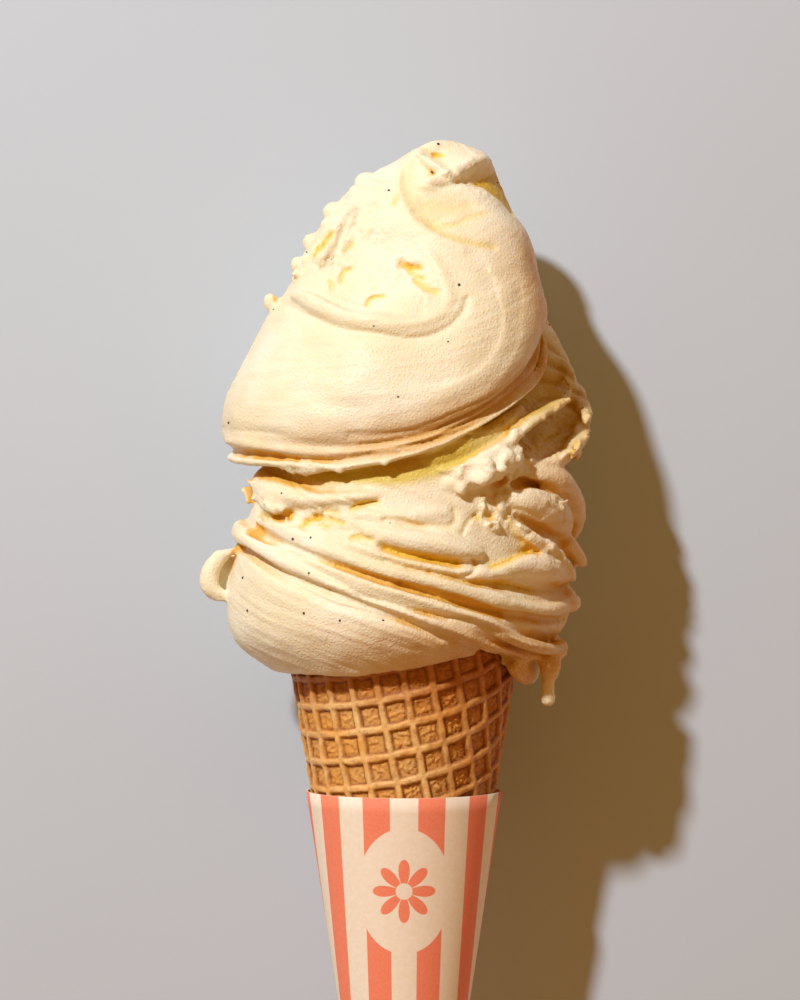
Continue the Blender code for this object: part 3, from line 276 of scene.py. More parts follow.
def upper_lips(mass):
    """Two thin lips one under the other along the lower edge."""
    mass.roll([
        (-128, 50.2, 34, 1, 1.5), (-105, 50, 35.8, 1.4, 2), (-83, 49.4, 38, 1.4, 2),
        (-62, 48.6, 38, 1.4, 2), (-44, 47.2, 36.3, 1.4, 2), (-26, 46, 34.5, 1.3, 2),
        (-5, 47, 33.5, 1, 1.8), (9, 49.4, 33.4, 0.8, 1.6), (23, 52.8, 33.4, 0.7, 1.5),
        (39, 58, 33.3, 0.7, 1.4), (56, 64.2, 32.7, 0.7, 1.4), (66, 68.6, 31.5, 0.6, 1.1),
        (78, 74, 30.2, 0.6, 1),
    ], steps=80)
    mass.cord(
        [(-24.8, 44.4, 25.6), (-22, 43, 27.6), (-19.4, 42.7, 29.4), (-17.6, 43.4, 30.6)],
        [0.6, 1.2, 1.1, 0.6],
    )
    mass.cord(
        [(-17.6, 43.7, 31), (-15.4, 43.2, 32), (-13.9, 42.7, 32.4), (-13.4, 41.6, 32.2)],
        [0.8, 0.8, 0.9, 0.8],
    )
    mass.lump((-4, 44.1, 34.8), (0.9, 0.9, 0.9))
    mass.crumbs([(-47, 42.8, 35.4), (-36, 42.4, 35.2), (-24, 42.6, 34.8)], 14, 0.5, 0.6, 12)
    mass.roll([
        (-96, 46.2, 36.6, 2, 2.4), (-84, 45.6, 37.4, 1.4, 2.2), (-62, 44.8, 36.8, 1.1, 2.1),
        (-44, 43.9, 35.4, 1.1, 2.2), (-26, 43.3, 34.2, 1.1, 2.2), (-14, 44, 33.9, 1, 2.1),
        (-1, 45.6, 33.7, 0.9, 2), (9, 47.4, 33.5, 0.8, 1.9), (23, 50.9, 33.4, 0.8, 1.8),
        (39, 56, 33.4, 0.8, 1.8), (56, 61.8, 33.2, 0.9, 1.6), (64, 64.8, 32.6, 0.8, 1.5),
        (74, 69, 31.6, 0.8, 1.3), (86, 73, 30.2, 0.7, 1.1),
    ], steps=90)


def raised_band(mass):
    """The soft band that curls round the torn hollow, the droplet at its left end and a nub below."""
    mass.roll([
        (-60, 80.5, 28.25, 1.6, 1.4), (-47, 79.6, 29.45, 2, 1.6), (-36, 77.6, 30.6, 2.2, 1.7),
        (-25, 75.6, 31.45, 2.4, 1.7), (-13, 74, 31.85, 2.5, 1.7), (-3, 73.1, 31.95, 2.5, 1.7),
        (6, 73, 31.8, 2.4, 1.7), (14, 74.8, 31.1, 2.2, 1.7), (18.5, 78.4, 30.1, 2, 1.7),
        (18, 82.4, 28.35, 2, 1.4), (14, 86.2, 26.75, 1.9, 1.3), (9, 90.2, 24.65, 1.8, 1.1),
        (3, 94, 22.45, 1.6, 0.8),
    ], steps=70)
    mass.lump((-29.2, 79.6, 5), (1.7, 2, 1.7))
    mass.lump((-14.6, 56.6, 33), (1.3, 1.9, 1.5))


def peak_curl(mass):
    """The curled tip with its free edge, a short finger on it, and the next turn's rounded edge."""
    mass.cord([
        (0.6, 103.8, 14), (1, 107.4, 10.6), (3, 110.6, 7.6), (6.6, 112.7, 5.5), (11, 112.9, 3.8),
        (16.2, 111, 3.6), (19.2, 107.5, 4),
    ], [0.9, 1.5, 1.8, 1.9, 1.9, 1.8, 1.3])
    mass.cord([
        (1.4, 104.4, 14.6), (4.4, 104, 16), (8.6, 105.4, 15), (12, 107.6, 12.4), (15.4, 109.6, 9.4),
        (18.2, 110.6, 6),
    ], [1.3, 1.8, 1.9, 1.8, 1.7, 1.4])
    mass.cord([(3.6, 110.4, 10.4), (6, 108.6, 13), (8.4, 107, 14.4)], [0.9, 1.2, 1])
    mass.cord([
        (2.6, 101.6, 16.4), (7, 102.6, 15.9), (11, 103, 15.1), (14.4, 102.6, 13.6), (17.6, 101, 11.6),
        (20.4, 98.8, 9), (22.6, 96.2, 7),
    ], [0.9, 1.3, 1.5, 1.6, 1.6, 1.5, 1.2])
    mass.lump((12, 98.6, 8.6), (8, 4.4, 7))


def left_edge_lumps(mass):
    """Torn lumps along the shown left edge of the top swirl."""
    mass.lump((-8.2, 105.6, 4), (2.8, 2.7, 3))
    mass.lump((-10.4, 102.8, 7), (1.9, 2.4, 2))
    mass.lump((-15.4, 99.2, 4), (2.7, 2.6, 3))
    mass.lump((-16.4, 95.6, 8), (2, 2.6, 2.2))
    mass.lump((-20.2, 92.6, 4), (2, 2.1, 2.4))
    mass.lump((-23.2, 87.6, 4), (1.6, 2.2, 2))
    mass.cord(
        [(-9.6, 101, 11.4), (-13, 96, 14.2), (-16, 91, 16.2), (-18.4, 86.4, 17.4)],
        [1.6, 2, 2, 1.2],
    )
    mass.cord([(-6, 99, 14.6), (-9.4, 93, 17.4), (-12, 88, 19.8)], [1.2, 1.6, 1.2])
    mass.crumbs([(-60, 103, 13), (-62, 97, 19), (-64, 90, 22.6), (-66, 84, 25.4)], 16, 1, 0.8, 9)


def second_layer(mass):
    """The layer under the top swirl, which stands out on the shown right, with two rough ridges."""
    mass.mound([
        (41.5, 8, 2, 0, 2), (42, 7.5, 20, 0, 20), (44, 5.5, 29, -0.5, 28.5),
        (47.5, 5, 32.8, -4.6, 30.6), (52, 5.6, 33.8, -8, 28), (57, 6, 34.2, -11.4, 24.6),
        (63, 5.8, 33, -12.4, 22), (70, 4.8, 31, -12.4, 19.6), (77, 3.8, 27.8, -12, 17),
        (83, 3, 24, -11, 14), (86, 2.4, 12, -11, 8), (87, 2, 1, -11, 1),
    ])
    mass.roll([
        (8, 42, 30.2, 0.9, 1.4), (14, 42.4, 31.4, 1.1, 2), (22, 43.4, 32.4, 1.2, 2.4),
        (29, 45.2, 33.2, 1.2, 2.6), (36, 47.6, 33.8, 1.2, 2.6), (42.5, 49.8, 34.2, 1.2, 2.6),
        (50, 52.8, 34.6, 1.2, 2.5), (57, 54.8, 35, 1.2, 2.4), (68, 56.8, 35.6, 1.1, 2.2),
        (78, 58.8, 36.4, 1, 2), (88, 62, 36.6, 0.9, 1.8), (96, 66, 36, 0.9, 1.6),
        (104, 71, 34, 0.8, 1.2),
    ], steps=80)
    mass.roll([
        (46, 44, 31, 1, 1.4), (56, 44.2, 34, 1.3, 1.8), (64, 44.8, 36, 1.5, 2),
        (70, 46.4, 37.2, 1.6, 2.1), (75, 48.6, 38.4, 1.7, 2.1), (82, 51.8, 39.2, 1.7, 2.1),
        (92, 56.8, 39.2, 1.7, 2.1), (104, 62, 38, 1.6, 2), (118, 67, 35.4, 1.4, 1.8),
        (132, 71, 31, 1.2, 1.4),
    ], steps=60)
    mass.roll([
        (6, 44.6, 31, 2, 1.6), (22, 47.4, 31.6, 2.4, 1.6), (38, 51, 31.4, 2.4, 1.6),
        (56, 56, 31, 2.4, 1.6),
    ])
    mass.lump((23.6, 50.2, 26.6), (1.5, 1.4, 1.6))
    mass.lump((37.6, 47.4, 6), (1.3, 2.6, 1.8))
    mass.lump((40.2, 51.6, 4), (0.9, 0.9, 1))
    mass.crumbs([(22, 43.8, 34), (36, 48, 35.6), (46, 51.6, 36.2)], 16, 0.4, 0.75, 1)
    mass.crumbs([(52, 53.8, 36.4), (66, 57.2, 37), (72, 58, 37.4)], 16, 0.45, 0.8, 2)
    mass.crumbs([(66, 45.6, 37.8), (74, 49, 39.6), (84, 54, 40.2), (88, 58, 40)], 30, 0.7, 0.85, 3)


def lower_mound(mass):
    """The wide folded mass on the cone's mouth, narrowing to the neck under the top swirl."""
    mass.mound([
        (-2.6, -3, 20, 1, 22), (-2.2, -3, 25.5, 1.2, 25.8), (-0.5, -2.8, 28.6, 1, 28),
        (2, -2.8, 31.6, 0.9, 30.6), (5, -2.4, 34.6, 0.7, 33), (9, -1.6, 37, 0.3, 35.2),
        (14, -1.2, 37.6, 0, 36), (20, -1.2, 37, 0, 35.6), (26, -0.6, 35.6, 0, 34.8),
        (32, 0, 34.2, 0, 33.8), (37, 0.4, 32.8, 0, 32.8), (42, 0.6, 32.4, 0, 31.8),
        (48, 1, 30.4, 0, 29.6), (54, 1, 26, 0, 24), (56, 1, 2, 0, 2),
    ], lift=SKIRT_LIFT)
    lower_bands(mass)
    torn_lumps(mass)
    right_lobes(mass)
    skirt_and_drips(mass)


def lower_bands(mass):
    """Long folds that fall to the shown right, and plainer ones round the back."""
    mass.roll([
        (-128, 31, 34.4, 2, 2), (-100, 30.4, 35.6, 2.4, 2.2), (-78, 28.6, 36, 2.6, 2.4),
        (-61, 26.8, 35.8, 2.6, 2.4), (-47, 23.8, 35.8, 2.4, 2.2), (-32, 20.6, 35.6, 2.2, 2),
        (-20, 17.8, 35.4, 2, 1.9), (-9, 15.1, 35, 1.8, 1.9), (0, 13.1, 34.8, 1.7, 1.9),
        (10, 10.7, 34.3, 1.6, 2), (18, 8.6, 33.8, 1.5, 2), (24, 7, 33, 1.5, 2),
        (34, 4.8, 31.2, 1.6, 2.2), (50, 3.2, 30.4, 1.8, 2.4), (70, 3.2, 31.4, 1.8, 2.2),
        (92, 4.2, 31.8, 1.6, 2),
    ], steps=80)
    mass.roll([
        (-64, 29.6, 34.6, 1.6, 1.6), (-47, 27.2, 35, 1.8, 1.9), (-32, 23.9, 35.2, 1.8, 2),
        (-20, 21, 35.2, 1.8, 2), (-9, 18.2, 35, 1.8, 2), (2, 16.4, 35, 1.7, 2), (11, 14.8, 35, 1.7, 2),
        (17, 13.4, 35, 1.6, 2), (24, 12, 35, 1.6, 2), (30, 10.4, 35, 1.6, 2), (36, 8.4, 35, 1.5, 2),
        (44, 6.4, 35.2, 1.4, 1.9), (54, 5, 35.6, 1.4, 1.8), (64, 4.2, 35.8, 1.3, 1.8),
        (74, 4.2, 35.2, 1.3, 1.8), (90, 4.8, 33.8, 1.6, 2), (108, 7, 33, 1.6, 2),
    ], steps=80)
    mass.roll([
        (-72, 32, 33.8, 1.8, 1.6), (-57, 31, 34.2, 2.2, 2), (-40, 28.4, 34.8, 2.3, 2.1),
        (-21, 24.6, 35.2, 2.3, 2.1), (-9, 21.9, 35.2, 2.2, 2), (2, 20, 35.1, 2.2, 2),
        (11, 18.8, 35.2, 2.1, 2), (20, 17.2, 35.4, 2, 2.1), (30, 15.6, 35.6, 1.9, 2.1),
        (39, 14.3, 35.9, 1.7, 2.1), (47, 13.2, 36.2, 1.6, 2), (56, 12.6, 36.4, 1.6, 2),
        (68, 13.2, 36.2, 2, 2.2), (84, 14.8, 36, 2.3, 2.3), (104, 16.6, 35.2, 2.2, 2.2),
        (126, 19.2, 34.4, 2, 2),
    ], steps=80)
    mass.roll([
        (-34, 29.6, 33.6, 1.2, 1.2), (-20, 27.2, 34.6, 1.5, 1.6), (-8, 24.6, 35, 1.5, 1.6),
        (2, 23, 35.1, 1.4, 1.5), (12, 21.6, 35.2, 1.4, 1.5), (24, 20.6, 35.2, 1.5, 1.6),
        (34, 21.3, 35.4, 1.9, 1.9), (43, 22.2, 35.6, 2.4, 2.2), (54, 22, 36.2, 2.7, 2.4),
        (64, 20.8, 36.4, 2.5, 2.3), (74, 20, 36.4, 2, 2), (92, 20.6, 36, 2, 2),
        (114, 22.8, 35, 1.9, 1.9),
    ], steps=80)
    mass.roll([
        (-17, 30.6, 33.2, 1.8, 1.8), (-8, 28.8, 34.2, 2.4, 2.2), (2, 27.8, 34.8, 2.6, 2.3),
        (12, 26.9, 35, 2.5, 2.3), (21, 25.8, 35.2, 2.1, 2.1), (29, 25, 35.2, 1.5, 1.6),
    ])
    mass.roll([
        (-20, 33.4, 32.6, 1.4, 1.4), (-8, 32.6, 33, 1.8, 1.7), (2, 32.8, 33, 1.8, 1.7),
        (10, 33.2, 32.9, 1.7, 1.6), (17, 33, 32.8, 1.3, 1.3),
    ])
    mass.roll([
        (104, 12, 33.6, 2.2, 2), (130, 14.4, 33.4, 3, 2.4), (160, 17, 33.2, 3.2, 2.4),
        (190, 20.6, 33.2, 3, 2.4), (222, 25.4, 33.8, 2.6, 2.2),
    ], steps=60)
    mass.roll([
        (96, 27.4, 34.6, 2.2, 2), (125, 28.6, 33.2, 3, 2.4), (160, 30.4, 32.4, 3, 2.4),
        (195, 33, 31.6, 2.8, 2.4), (235, 35.4, 31.4, 2.2, 2),
    ], steps=60)


def torn_lumps(mass):
    """The torn lump and its long finger on the shown left, and the rough crest right of the middle."""
    mass.roll([
        (-80, 43, 30.6, 2.4, 2.4), (-71, 40.4, 32, 3.2, 3), (-62, 38.2, 33, 4, 3.4),
        (-53, 37, 33.4, 4.4, 3.6), (-44, 37, 33, 2.8, 2.8), (-34, 36.4, 32.8, 1.6, 2.2),
        (-24, 36.6, 32.6, 1.3, 2), (-13, 37.2, 32.4, 1.1, 1.7), (-8, 37.2, 32, 0.8, 1.2),
    ], steps=50)
    mass.lump((-28.4, 33.6, 18.2), (2.6, 2.6, 2.6))
    mass.cord([(-33, 38.6, 4), (-34.6, 38.4, 4.2), (-35.4, 38.9, 4.4)], [1.1, 0.9, 0.5])
    mass.cord([(-33, 37.4, 4), (-34, 36.8, 4.4), (-33.6, 35.4, 4.6)], [1.1, 0.8, 0.5])
    mass.crumbs([(-74, 41.6, 34), (-60, 36, 36.4), (-48, 33.8, 36)], 18, 0.9, 0.8, 4)
    mass.roll([
        (43, 48.6, 31.4, 1.2, 1.6), (45, 46.4, 31.6, 1.8, 2), (47, 44, 31.8, 2, 2.2),
        (45, 41.8, 32, 1.8, 2.2), (41, 39.8, 32, 1.4, 1.8), (36, 37.6, 32.4, 1, 1.4),
    ])
    mass.roll([
        (14, 39.2, 31.6, 1.8, 2), (22, 40.6, 32.6, 2.6, 2.4), (29, 42.2, 33.4, 3, 2.6),
        (36, 44.2, 34, 3.2, 2.8), (42.5, 45.8, 34.4, 3, 2.8), (47, 46.4, 34.6, 2.2, 2.4),
    ])
    mass.crumbs(
        [(42, 48, 33.2), (46, 46, 33.8), (48, 43.6, 34), (43, 41, 33.8), (40, 39.6, 33.6)],
        34, 0.55, 0.85, 5,
    )
    mass.crumbs(
        [(20, 40.4, 34.6), (28, 42.4, 35.8), (36, 44.4, 36.6), (44, 46.2, 36.8)], 20, 1, 1.3, 14
    )
    mass.lump((26.8, 44.9, 21.6), (1.3, 1, 1.4))
    mass.cord([(19.6, 37.4, 27.4), (20.4, 35.4, 27.2), (21.2, 33.6, 27)], [0.9, 1.05, 0.95])
    mass.lump((19.2, 30.9, 28.6), (1.35, 1.35, 1.5))
    mass.crumbs([(33, 38, 33), (30, 35, 33.6), (31, 31, 34.4)], 16, 1, 0.55, 6)


def right_lobes(mass):
    """Thick folded lobes on the shown right, one behind the other."""
    mass.roll([
        (48, 42.4, 31.6, 1.4, 1.8), (56, 42, 34.2, 2.3, 2.6), (64, 40.8, 36, 2.6, 3),
        (73, 38.6, 36.4, 2.8, 3.2), (84, 34.6, 36.8, 3.2, 3.2), (96, 30, 36.6, 3, 3),
        (108, 26, 35, 2, 2),
    ], steps=50)
    mass.roll([
        (48, 41.6, 32.4, 0.6, 1), (53, 41.2, 34.4, 0.8, 1.4), (60, 40.2, 36.2, 0.9, 1.5),
        (66, 38.8, 37.2, 0.9, 1.5), (74, 36.8, 37.8, 0.8, 1.3), (82, 34, 37.8, 0.6, 1),
    ])
    mass.roll([
        (36, 36, 32, 1.6, 1.8), (41, 36, 33, 2.4, 2.4), (47, 35.8, 34.2, 3.2, 2.9),
        (54, 35, 35, 4, 3.2), (61, 34.1, 35.6, 4.3, 3.2), (69, 32.4, 35.8, 4, 3),
        (77, 30.4, 35.4, 3.2, 2.6), (86, 28.6, 34.6, 2.2, 2),
    ], steps=50)
    mass.lump((27, 35, 6), (8, 8, 12))
    mass.roll([
        (38, 33.4, 33.6, 0.6, 1), (44, 31, 34.8, 0.9, 1.3), (48.5, 29.2, 35.6, 1, 1.4),
        (54.5, 27, 36.4, 1, 1.5), (60.5, 25.2, 37.2, 1, 1.5), (64.5, 23.2, 37.8, 1, 1.5),
        (69, 20.8, 38.4, 1.1, 1.4), (74, 18.8, 38.6, 1.1, 1.3),
    ])
    mass.roll([
        (37, 32, 33, 0.6, 0.9), (42, 29.8, 34.6, 0.7, 1.1), (48, 27.6, 35.8, 0.7, 1.1),
        (55, 25.4, 36.6, 0.6, 1),
    ])
    mass.crumbs([(40, 32.6, 35), (48, 29.4, 36.6), (58, 26, 38)], 18, 0.45, 0.7, 7)
    mass.crumbs([(52, 38, 38), (62, 35, 39), (70, 32, 39)], 20, 1, 0.5, 8)
    mass.cord([(34.6, 28, 8), (37.4, 24.8, 4), (39.7, 21.8, 1)], [2.4, 1.9, 1.1])
    mass.lump((35.6, 14, 8), (3, 2.2, 5))


def skirt_and_drips(mass):
    """The skirt that hangs out on the shown right with its drips, and the looped drip on the left."""
    mass.roll([
        (52, 1.8, 28.6, 2.2, 2), (62, 0, 28.2, 2.8, 2.2), (72, -0.8, 28, 3.2, 2.2),
        (82, -0.4, 28, 3, 2.2), (94, 0.8, 28, 2.4, 2),
    ])
    mass.lump((33, 3.6, 11), (2.6, 1.8, 4))
    mass.cord(
        [(31.4, 4, 12), (31.6, 0, 11.6), (31.2, -3.4, 11), (31.3, -6.8, 10.6)],
        [3, 2.4, 1.5, 1.4],
    )
    mass.lump((31.3, -6.4, 10.6), (1.6, 1.9, 1.6))
    mass.cord([
        (-36, 26.6, 4), (-39, 25, 4), (-41.3, 22.6, 4), (-42.4, 20.2, 4), (-42.5, 17.6, 4),
        (-41, 15.9, 4), (-38.8, 15.4, 4), (-36.4, 16, 4),
    ], [1.5, 1.7, 1.9, 2.1, 2.1, 1.7, 1.2, 1.1])
    mass.lump((-38.6, 20, 0.2), (3, 4.6, 1.4))


def build_mass():
    mass = Mass()
    upper_mound(mass)
    second_layer(mass)
    lower_mound(mass)
    return mass


# Strokes pressed into the surface, as (name, width, depth, [(angle, height)])
STROKES = [
    ("crease over the big lobe", 0.8, -1.7, [
        (-118, 28.4), (-90, 27.2), (-72, 25.6), (-61, 24.3), (-47, 21), (-32, 18), (-20, 15.4),
        (-9, 12.9), (-1, 11.2), (9, 8.7), (21, 6.3), (36, 3.6), (52, 1.4),
    ]),
    ("crease in the lower band", 0.6, -1.2, [
        (-44, 25.2), (-26, 20.4), (-15, 16.8), (-4, 14.6), (9, 12.5), (24, 10.4), (38, 7.8), (54, 5.4),
        (72, 4.2),
    ]),
    ("crease under the upper band", 0.7, -1.7, [
        (-66, 30.2), (-57, 28.8), (-40, 26), (-21, 22.2), (-9, 19.6), (2, 17.9), (11, 16.5), (24, 14),
        (35, 12.2), (48, 10.8), (66, 10), (84, 10.2),
    ]),
    ("crease in the upper band", 0.55, -0.9, [
        (-36, 28.6), (-20, 25.6), (-6, 23), (8, 21.2), (24, 18.8), (40, 17.6), (58, 16.8), (80, 17.2),
    ]),
    ("crease between the lips", 0.7, -0.35, [
        (-88, 47.5), (-62, 46.7), (-44, 45.5), (-26, 44.6), (-7, 45.6), (9, 48.3), (23, 51.8), (39, 57),
        (56, 63), (66, 67),
    ]),
    ("crease over the lip", 0.9, -0.35, [
        (-85, 52), (-55, 51), (-26, 48), (0, 49.4), (16, 52.6), (31, 57), (46, 63), (56, 67),
        (66, 72.6),
    ]),
    ("dent beside the small nub", 2.6, -0.5, [(-38, 60), (-24, 57), (-14, 54.4)]),
    ("wing hollow", 2.6, -0.9, [(46, 47), (56, 49.4), (66, 52), (76, 55), (86, 60)]),
    ("wing fold", 0.8, -0.6, [(56, 57.6), (68, 61), (80, 66), (92, 72)]),
    ("crease over the right lobe", 0.8, -0.6, [
        (42, 39.6), (50, 39.8), (58, 38.6), (66, 36.8), (76, 34),
    ]),
    ("back fold", 1.6, -0.9, [(100, 47.6), (140, 48), (180, 46.8), (220, 46.4), (255, 47)]),
    ("back swirl", 2.2, -1.2, [(105, 84), (140, 76), (175, 66.6), (210, 60), (245, 58)]),
    ("high back swirl", 2, -1, [(110, 100), (150, 95), (190, 88), (230, 83), (268, 81)]),
]

# Broad hollows as (name, angle, height, reach round the axis, reach along it, depth)
HOLLOWS = [
    ("torn hollow", -14, 86, 11.4, 9, 2.8),
    ("upper torn hollow", -22, 95, 7, 6, 1.2),
    ("bay under the skirt", 40, 0, 5, 2.4, 1),
]

# Lines pressed straight into the shown side, as (name, width on the left, width on the right, depth,
# how much painted golden shade they get, [(x, height)])
FRONT_STROKES = [
    ("large pit", 0.7, 0.7, -1.5, 1, [(-0.5, 86.7), (1.2, 86), (3.4, 85.8)]),
    ("crack of the large pit", 0.45, 0.45, -1.1, 1, [(0.8, 86), (2.1, 84.3), (4.2, 83.4)]),
    ("left pit", 0.9, 0.8, -1.6, 1, [(-15.8, 93.7), (-16.8, 92.4), (-17.9, 90.7)]),
    ("pit under the lump", 0.7, 0.8, -1.2, 1, [(-21.3, 31.2), (-19.8, 32.1), (-18.3, 32.5)]),
    ("dark pit of the torn lump", 0.8, 0.9, -1.4, 0.7, [(-30.2, 33.3), (-28.7, 32.7), (-27, 33.1)]),
    ("long slot", 0.9, 1, -1.5, 0.8, [
        (-4.2, 26.4), (-0.9, 25.2), (3.3, 24.3), (7.5, 23.5), (10.9, 22.8),
    ]),
    ("right slot", 0.8, 0.8, -1.2, 1, [(18.3, 22.2), (21.3, 23.2), (23.8, 24.4), (26.2, 25.4)]),
    ("lower right slot", 0.9, 0.7, -1.2, 1, [(19.2, 18.5), (22.9, 18), (26.9, 16.7)]),
    ("valley by the right lobe", 0.9, 0.9, -1.1, 0.5, [(22.2, 32.3), (23.3, 29.9), (24.9, 28)]),
    ("dark pit under the right lobe", 0.6, 0.6, -1, 0.2, [(33.6, 28.6), (35.4, 28.1)]),
]

# Hollows in the shown side with a sharp rim, as (name, depth, width of the rim's wall, how much
# painted golden shade they get, [(x, height)], the gentle side as [(x, height)], width of its slope)
FRONT_HOLLOWS = [
    ("hollow under the curl", -4.2, 0.5, 1, [
        (10, 105), (13.4, 107.4), (16.2, 109.4), (18.4, 110.8), (22, 112), (25, 104), (24, 97.4),
        (21, 100.8), (17, 103.6), (14, 104.4), (11.4, 104.4),
    ], [(9, 104.4), (13.4, 107.4), (16.2, 109.4), (18.4, 110.8), (22, 112)], 3.4),
]


def unrolled(points, middle, reach):
    """Points in space laid flat round the axis: along the turn, then along the axis."""
    turn = np.degrees(np.arctan2(points[:, 0], points[:, 2]))
    turn = (turn - middle + 180) % 360 - 180 + middle
    return np.stack([np.radians(turn) * reach, points[:, 1]], 1)


def line_distance(flat, line):
    """The distance from each flat point to a flat line."""
    best = np.full(len(flat), np.inf)
    for start, end in zip(line[:-1], line[1:]):
        step = end - start
        share = np.clip(((flat - start) @ step) / max(step @ step, 1e-9), 0, 1)
        best = np.minimum(best, np.linalg.norm(flat - start - share[:, None] * step, axis=1))
    return best


def surface_relief(points):
    """How far each point moves out along its normal."""
    reach = np.hypot(points[:, 0], points[:, 2])
    move = np.zeros(len(points))
    for _, width, depth, stroke in STROKES:
        stroke = np.array(stroke, float)
        middle = stroke[:, 0].mean()
        line = smooth_rows(stroke, 4 * len(stroke))
        line[:, 0] = np.radians(line[:, 0]) * UNROLL_RADIUS
        away = line_distance(unrolled(points, middle, UNROLL_RADIUS), line)
        move += depth * np.exp(-((away / width) ** 2))
    for _, angle, height, wide, tall, depth in HOLLOWS:
        flat = unrolled(points, angle, np.maximum(reach, 8))
        across = flat[:, 0] - np.radians(angle) * np.maximum(reach, 8)
        off = np.hypot(across / wide, (flat[:, 1] - height) / tall)
        move -= depth * np.exp(-(off**4))
    return move


def soft_noise(points, size, seed):
    """Smooth noise between about -1 and 1 with features of this size."""
    shift = Vector((seed * 17.3, seed * 5.1, seed * 9.7))
    return np.array([noise.noise(Vector(p) / size + shift) for p in points])


def mesh_object(name, points, faces):
    mesh = bpy.data.meshes.new(name)
    mesh.from_pydata([tuple(p) for p in points], [], faces)
    mesh.update()
    obj = bpy.data.objects.new(name, mesh)
    bpy.context.scene.collection.objects.link(obj)
    return obj


def apply_modifiers(obj):
    graph = bpy.context.evaluated_depsgraph_get()
    mesh = bpy.data.meshes.new_from_object(obj.evaluated_get(graph))
    old = obj.data
    obj.modifiers.clear()
    obj.data = mesh
    bpy.data.meshes.remove(old)


def mesh_points(obj):
    points = np.empty(len(obj.data.vertices) * 3)
    obj.data.vertices.foreach_get("co", points)
    return points.reshape(-1, 3)


def set_points(obj, points):
    obj.data.vertices.foreach_set("co", np.ascontiguousarray(points).ravel())
    obj.data.update()


def point_normals(obj):
    normals = np.empty(len(obj.data.vertices) * 3)
    obj.data.vertex_normals.foreach_get("vector", normals)
    return normals.reshape(-1, 3)


def keep_largest_piece(obj):
    """Drops every loose piece but the one with the most faces."""
    shape = bmesh.new()
    shape.from_mesh(obj.data)
    left = set(shape.faces)
    pieces = []
    while left:
        piece = [left.pop()]
        for face in piece:
            for edge in face.edges:
                for other in edge.link_faces:
                    if other in left:
                        left.remove(other)
                        piece.append(other)
        pieces.append(piece)
    pieces.sort(key=len, reverse=True)
    loose = [face for piece in pieces[1:] for face in piece]
    bmesh.ops.delete(shape, geom=loose, context="FACES")
    shape.to_mesh(obj.data)
    shape.free()


def fuse(name, mass, voxel):
    """One closed skin round all the shapes of the mass."""
    obj = mesh_object(name, mass.points, mass.faces)
    heal(obj, voxel)
    return obj


def heal(obj, voxel):
    """One clean skin again where carving folded the old one over itself."""
    remesh = obj.modifiers.new("heal", "REMESH")
    remesh.mode = "VOXEL"
    remesh.voxel_size = voxel
    apply_modifiers(obj)
    keep_largest_piece(obj)


def smooth(obj, factor, turns):
    modifier = obj.modifiers.new("smooth", "SMOOTH")
    modifier.factor = factor
    modifier.iterations = turns
    apply_modifiers(obj)


def carve(obj):
    """Presses the strokes, the hollows and a soft unevenness into the fused skin."""
    points = mesh_points(obj)
    uneven = 0.35 * soft_noise(points, 11, 1) + 0.16 * soft_noise(points, 4.5, 2)
    move = surface_relief(points) + uneven
    set_points(obj, points + point_normals(obj) * move[:, None])


def side_distance(flat, line):
    """The distance from each flat point to a flat line, and whether it is on the line's left."""
    best = np.full(len(flat), np.inf)
    left = np.zeros(len(flat), bool)
    for start, end in zip(line[:-1], line[1:]):
        step = end - start
        away = flat - start
        share = np.clip((away @ step) / max(step @ step, 1e-9), 0, 1)
        length = np.linalg.norm(away - share[:, None] * step, axis=1)
        nearer = length < best
        best = np.where(nearer, length, best)
        left = np.where(nearer, step[0] * away[:, 1] - step[1] * away[:, 0] > 0, left)
    return best, left


def inside_outline(flat, outline):
    """Whether each flat point lies inside a closed outline."""
    inside = np.zeros(len(flat), bool)
    for start, end in zip(outline, np.roll(outline, -1, axis=0)):
        crosses = (start[1] > flat[:, 1]) != (end[1] > flat[:, 1])
        rise = end[1] - start[1] if end[1] != start[1] else 1e-9
        edge = start[0] + (end[0] - start[0]) * (flat[:, 1] - start[1]) / rise
        inside ^= crosses & (flat[:, 0] < edge)
    return inside


def stroke_share(points, facing, stroke):
    """The points near a front stroke, and how much of it each one takes."""
    _, wide_left, wide_right, _, _, line = stroke
    line = smooth_rows(line, 5 * len(line))
    margin = 3 * max(wide_left, wide_right)
    flat = points[:, :2]
    close = np.all((flat > line.min(0) - margin) & (flat < line.max(0) + margin), axis=1)
    near = np.flatnonzero(close & (facing > 0.05))
    away, left = side_distance(flat[near], line)
    share = np.exp(-((away / np.where(left, wide_left, wide_right)) ** 2))
    return near, share * np.clip((facing[near] - 0.05) / 0.3, 0, 1)


def hollow_share(points, facing, hollow):
    """The points inside a sharp-rimmed hollow, and how much of it each one takes."""
    _, _, wall, _, outline, slope, slope_width = hollow
    outline = np.array(outline, float)
    inside = np.flatnonzero(inside_outline(points[:, :2], outline) & (facing > 0))
    flat = points[inside, :2]
    from_rim = side_distance(flat, np.vstack([outline, outline[:1]]))[0]
    from_slope = side_distance(flat, np.array(slope, float))[0]
    share = np.minimum(np.clip(from_rim / wall, 0, 1), np.clip(from_slope / slope_width, 0, 1))
    return inside, share * np.clip(facing[inside] / 0.15, 0, 1)


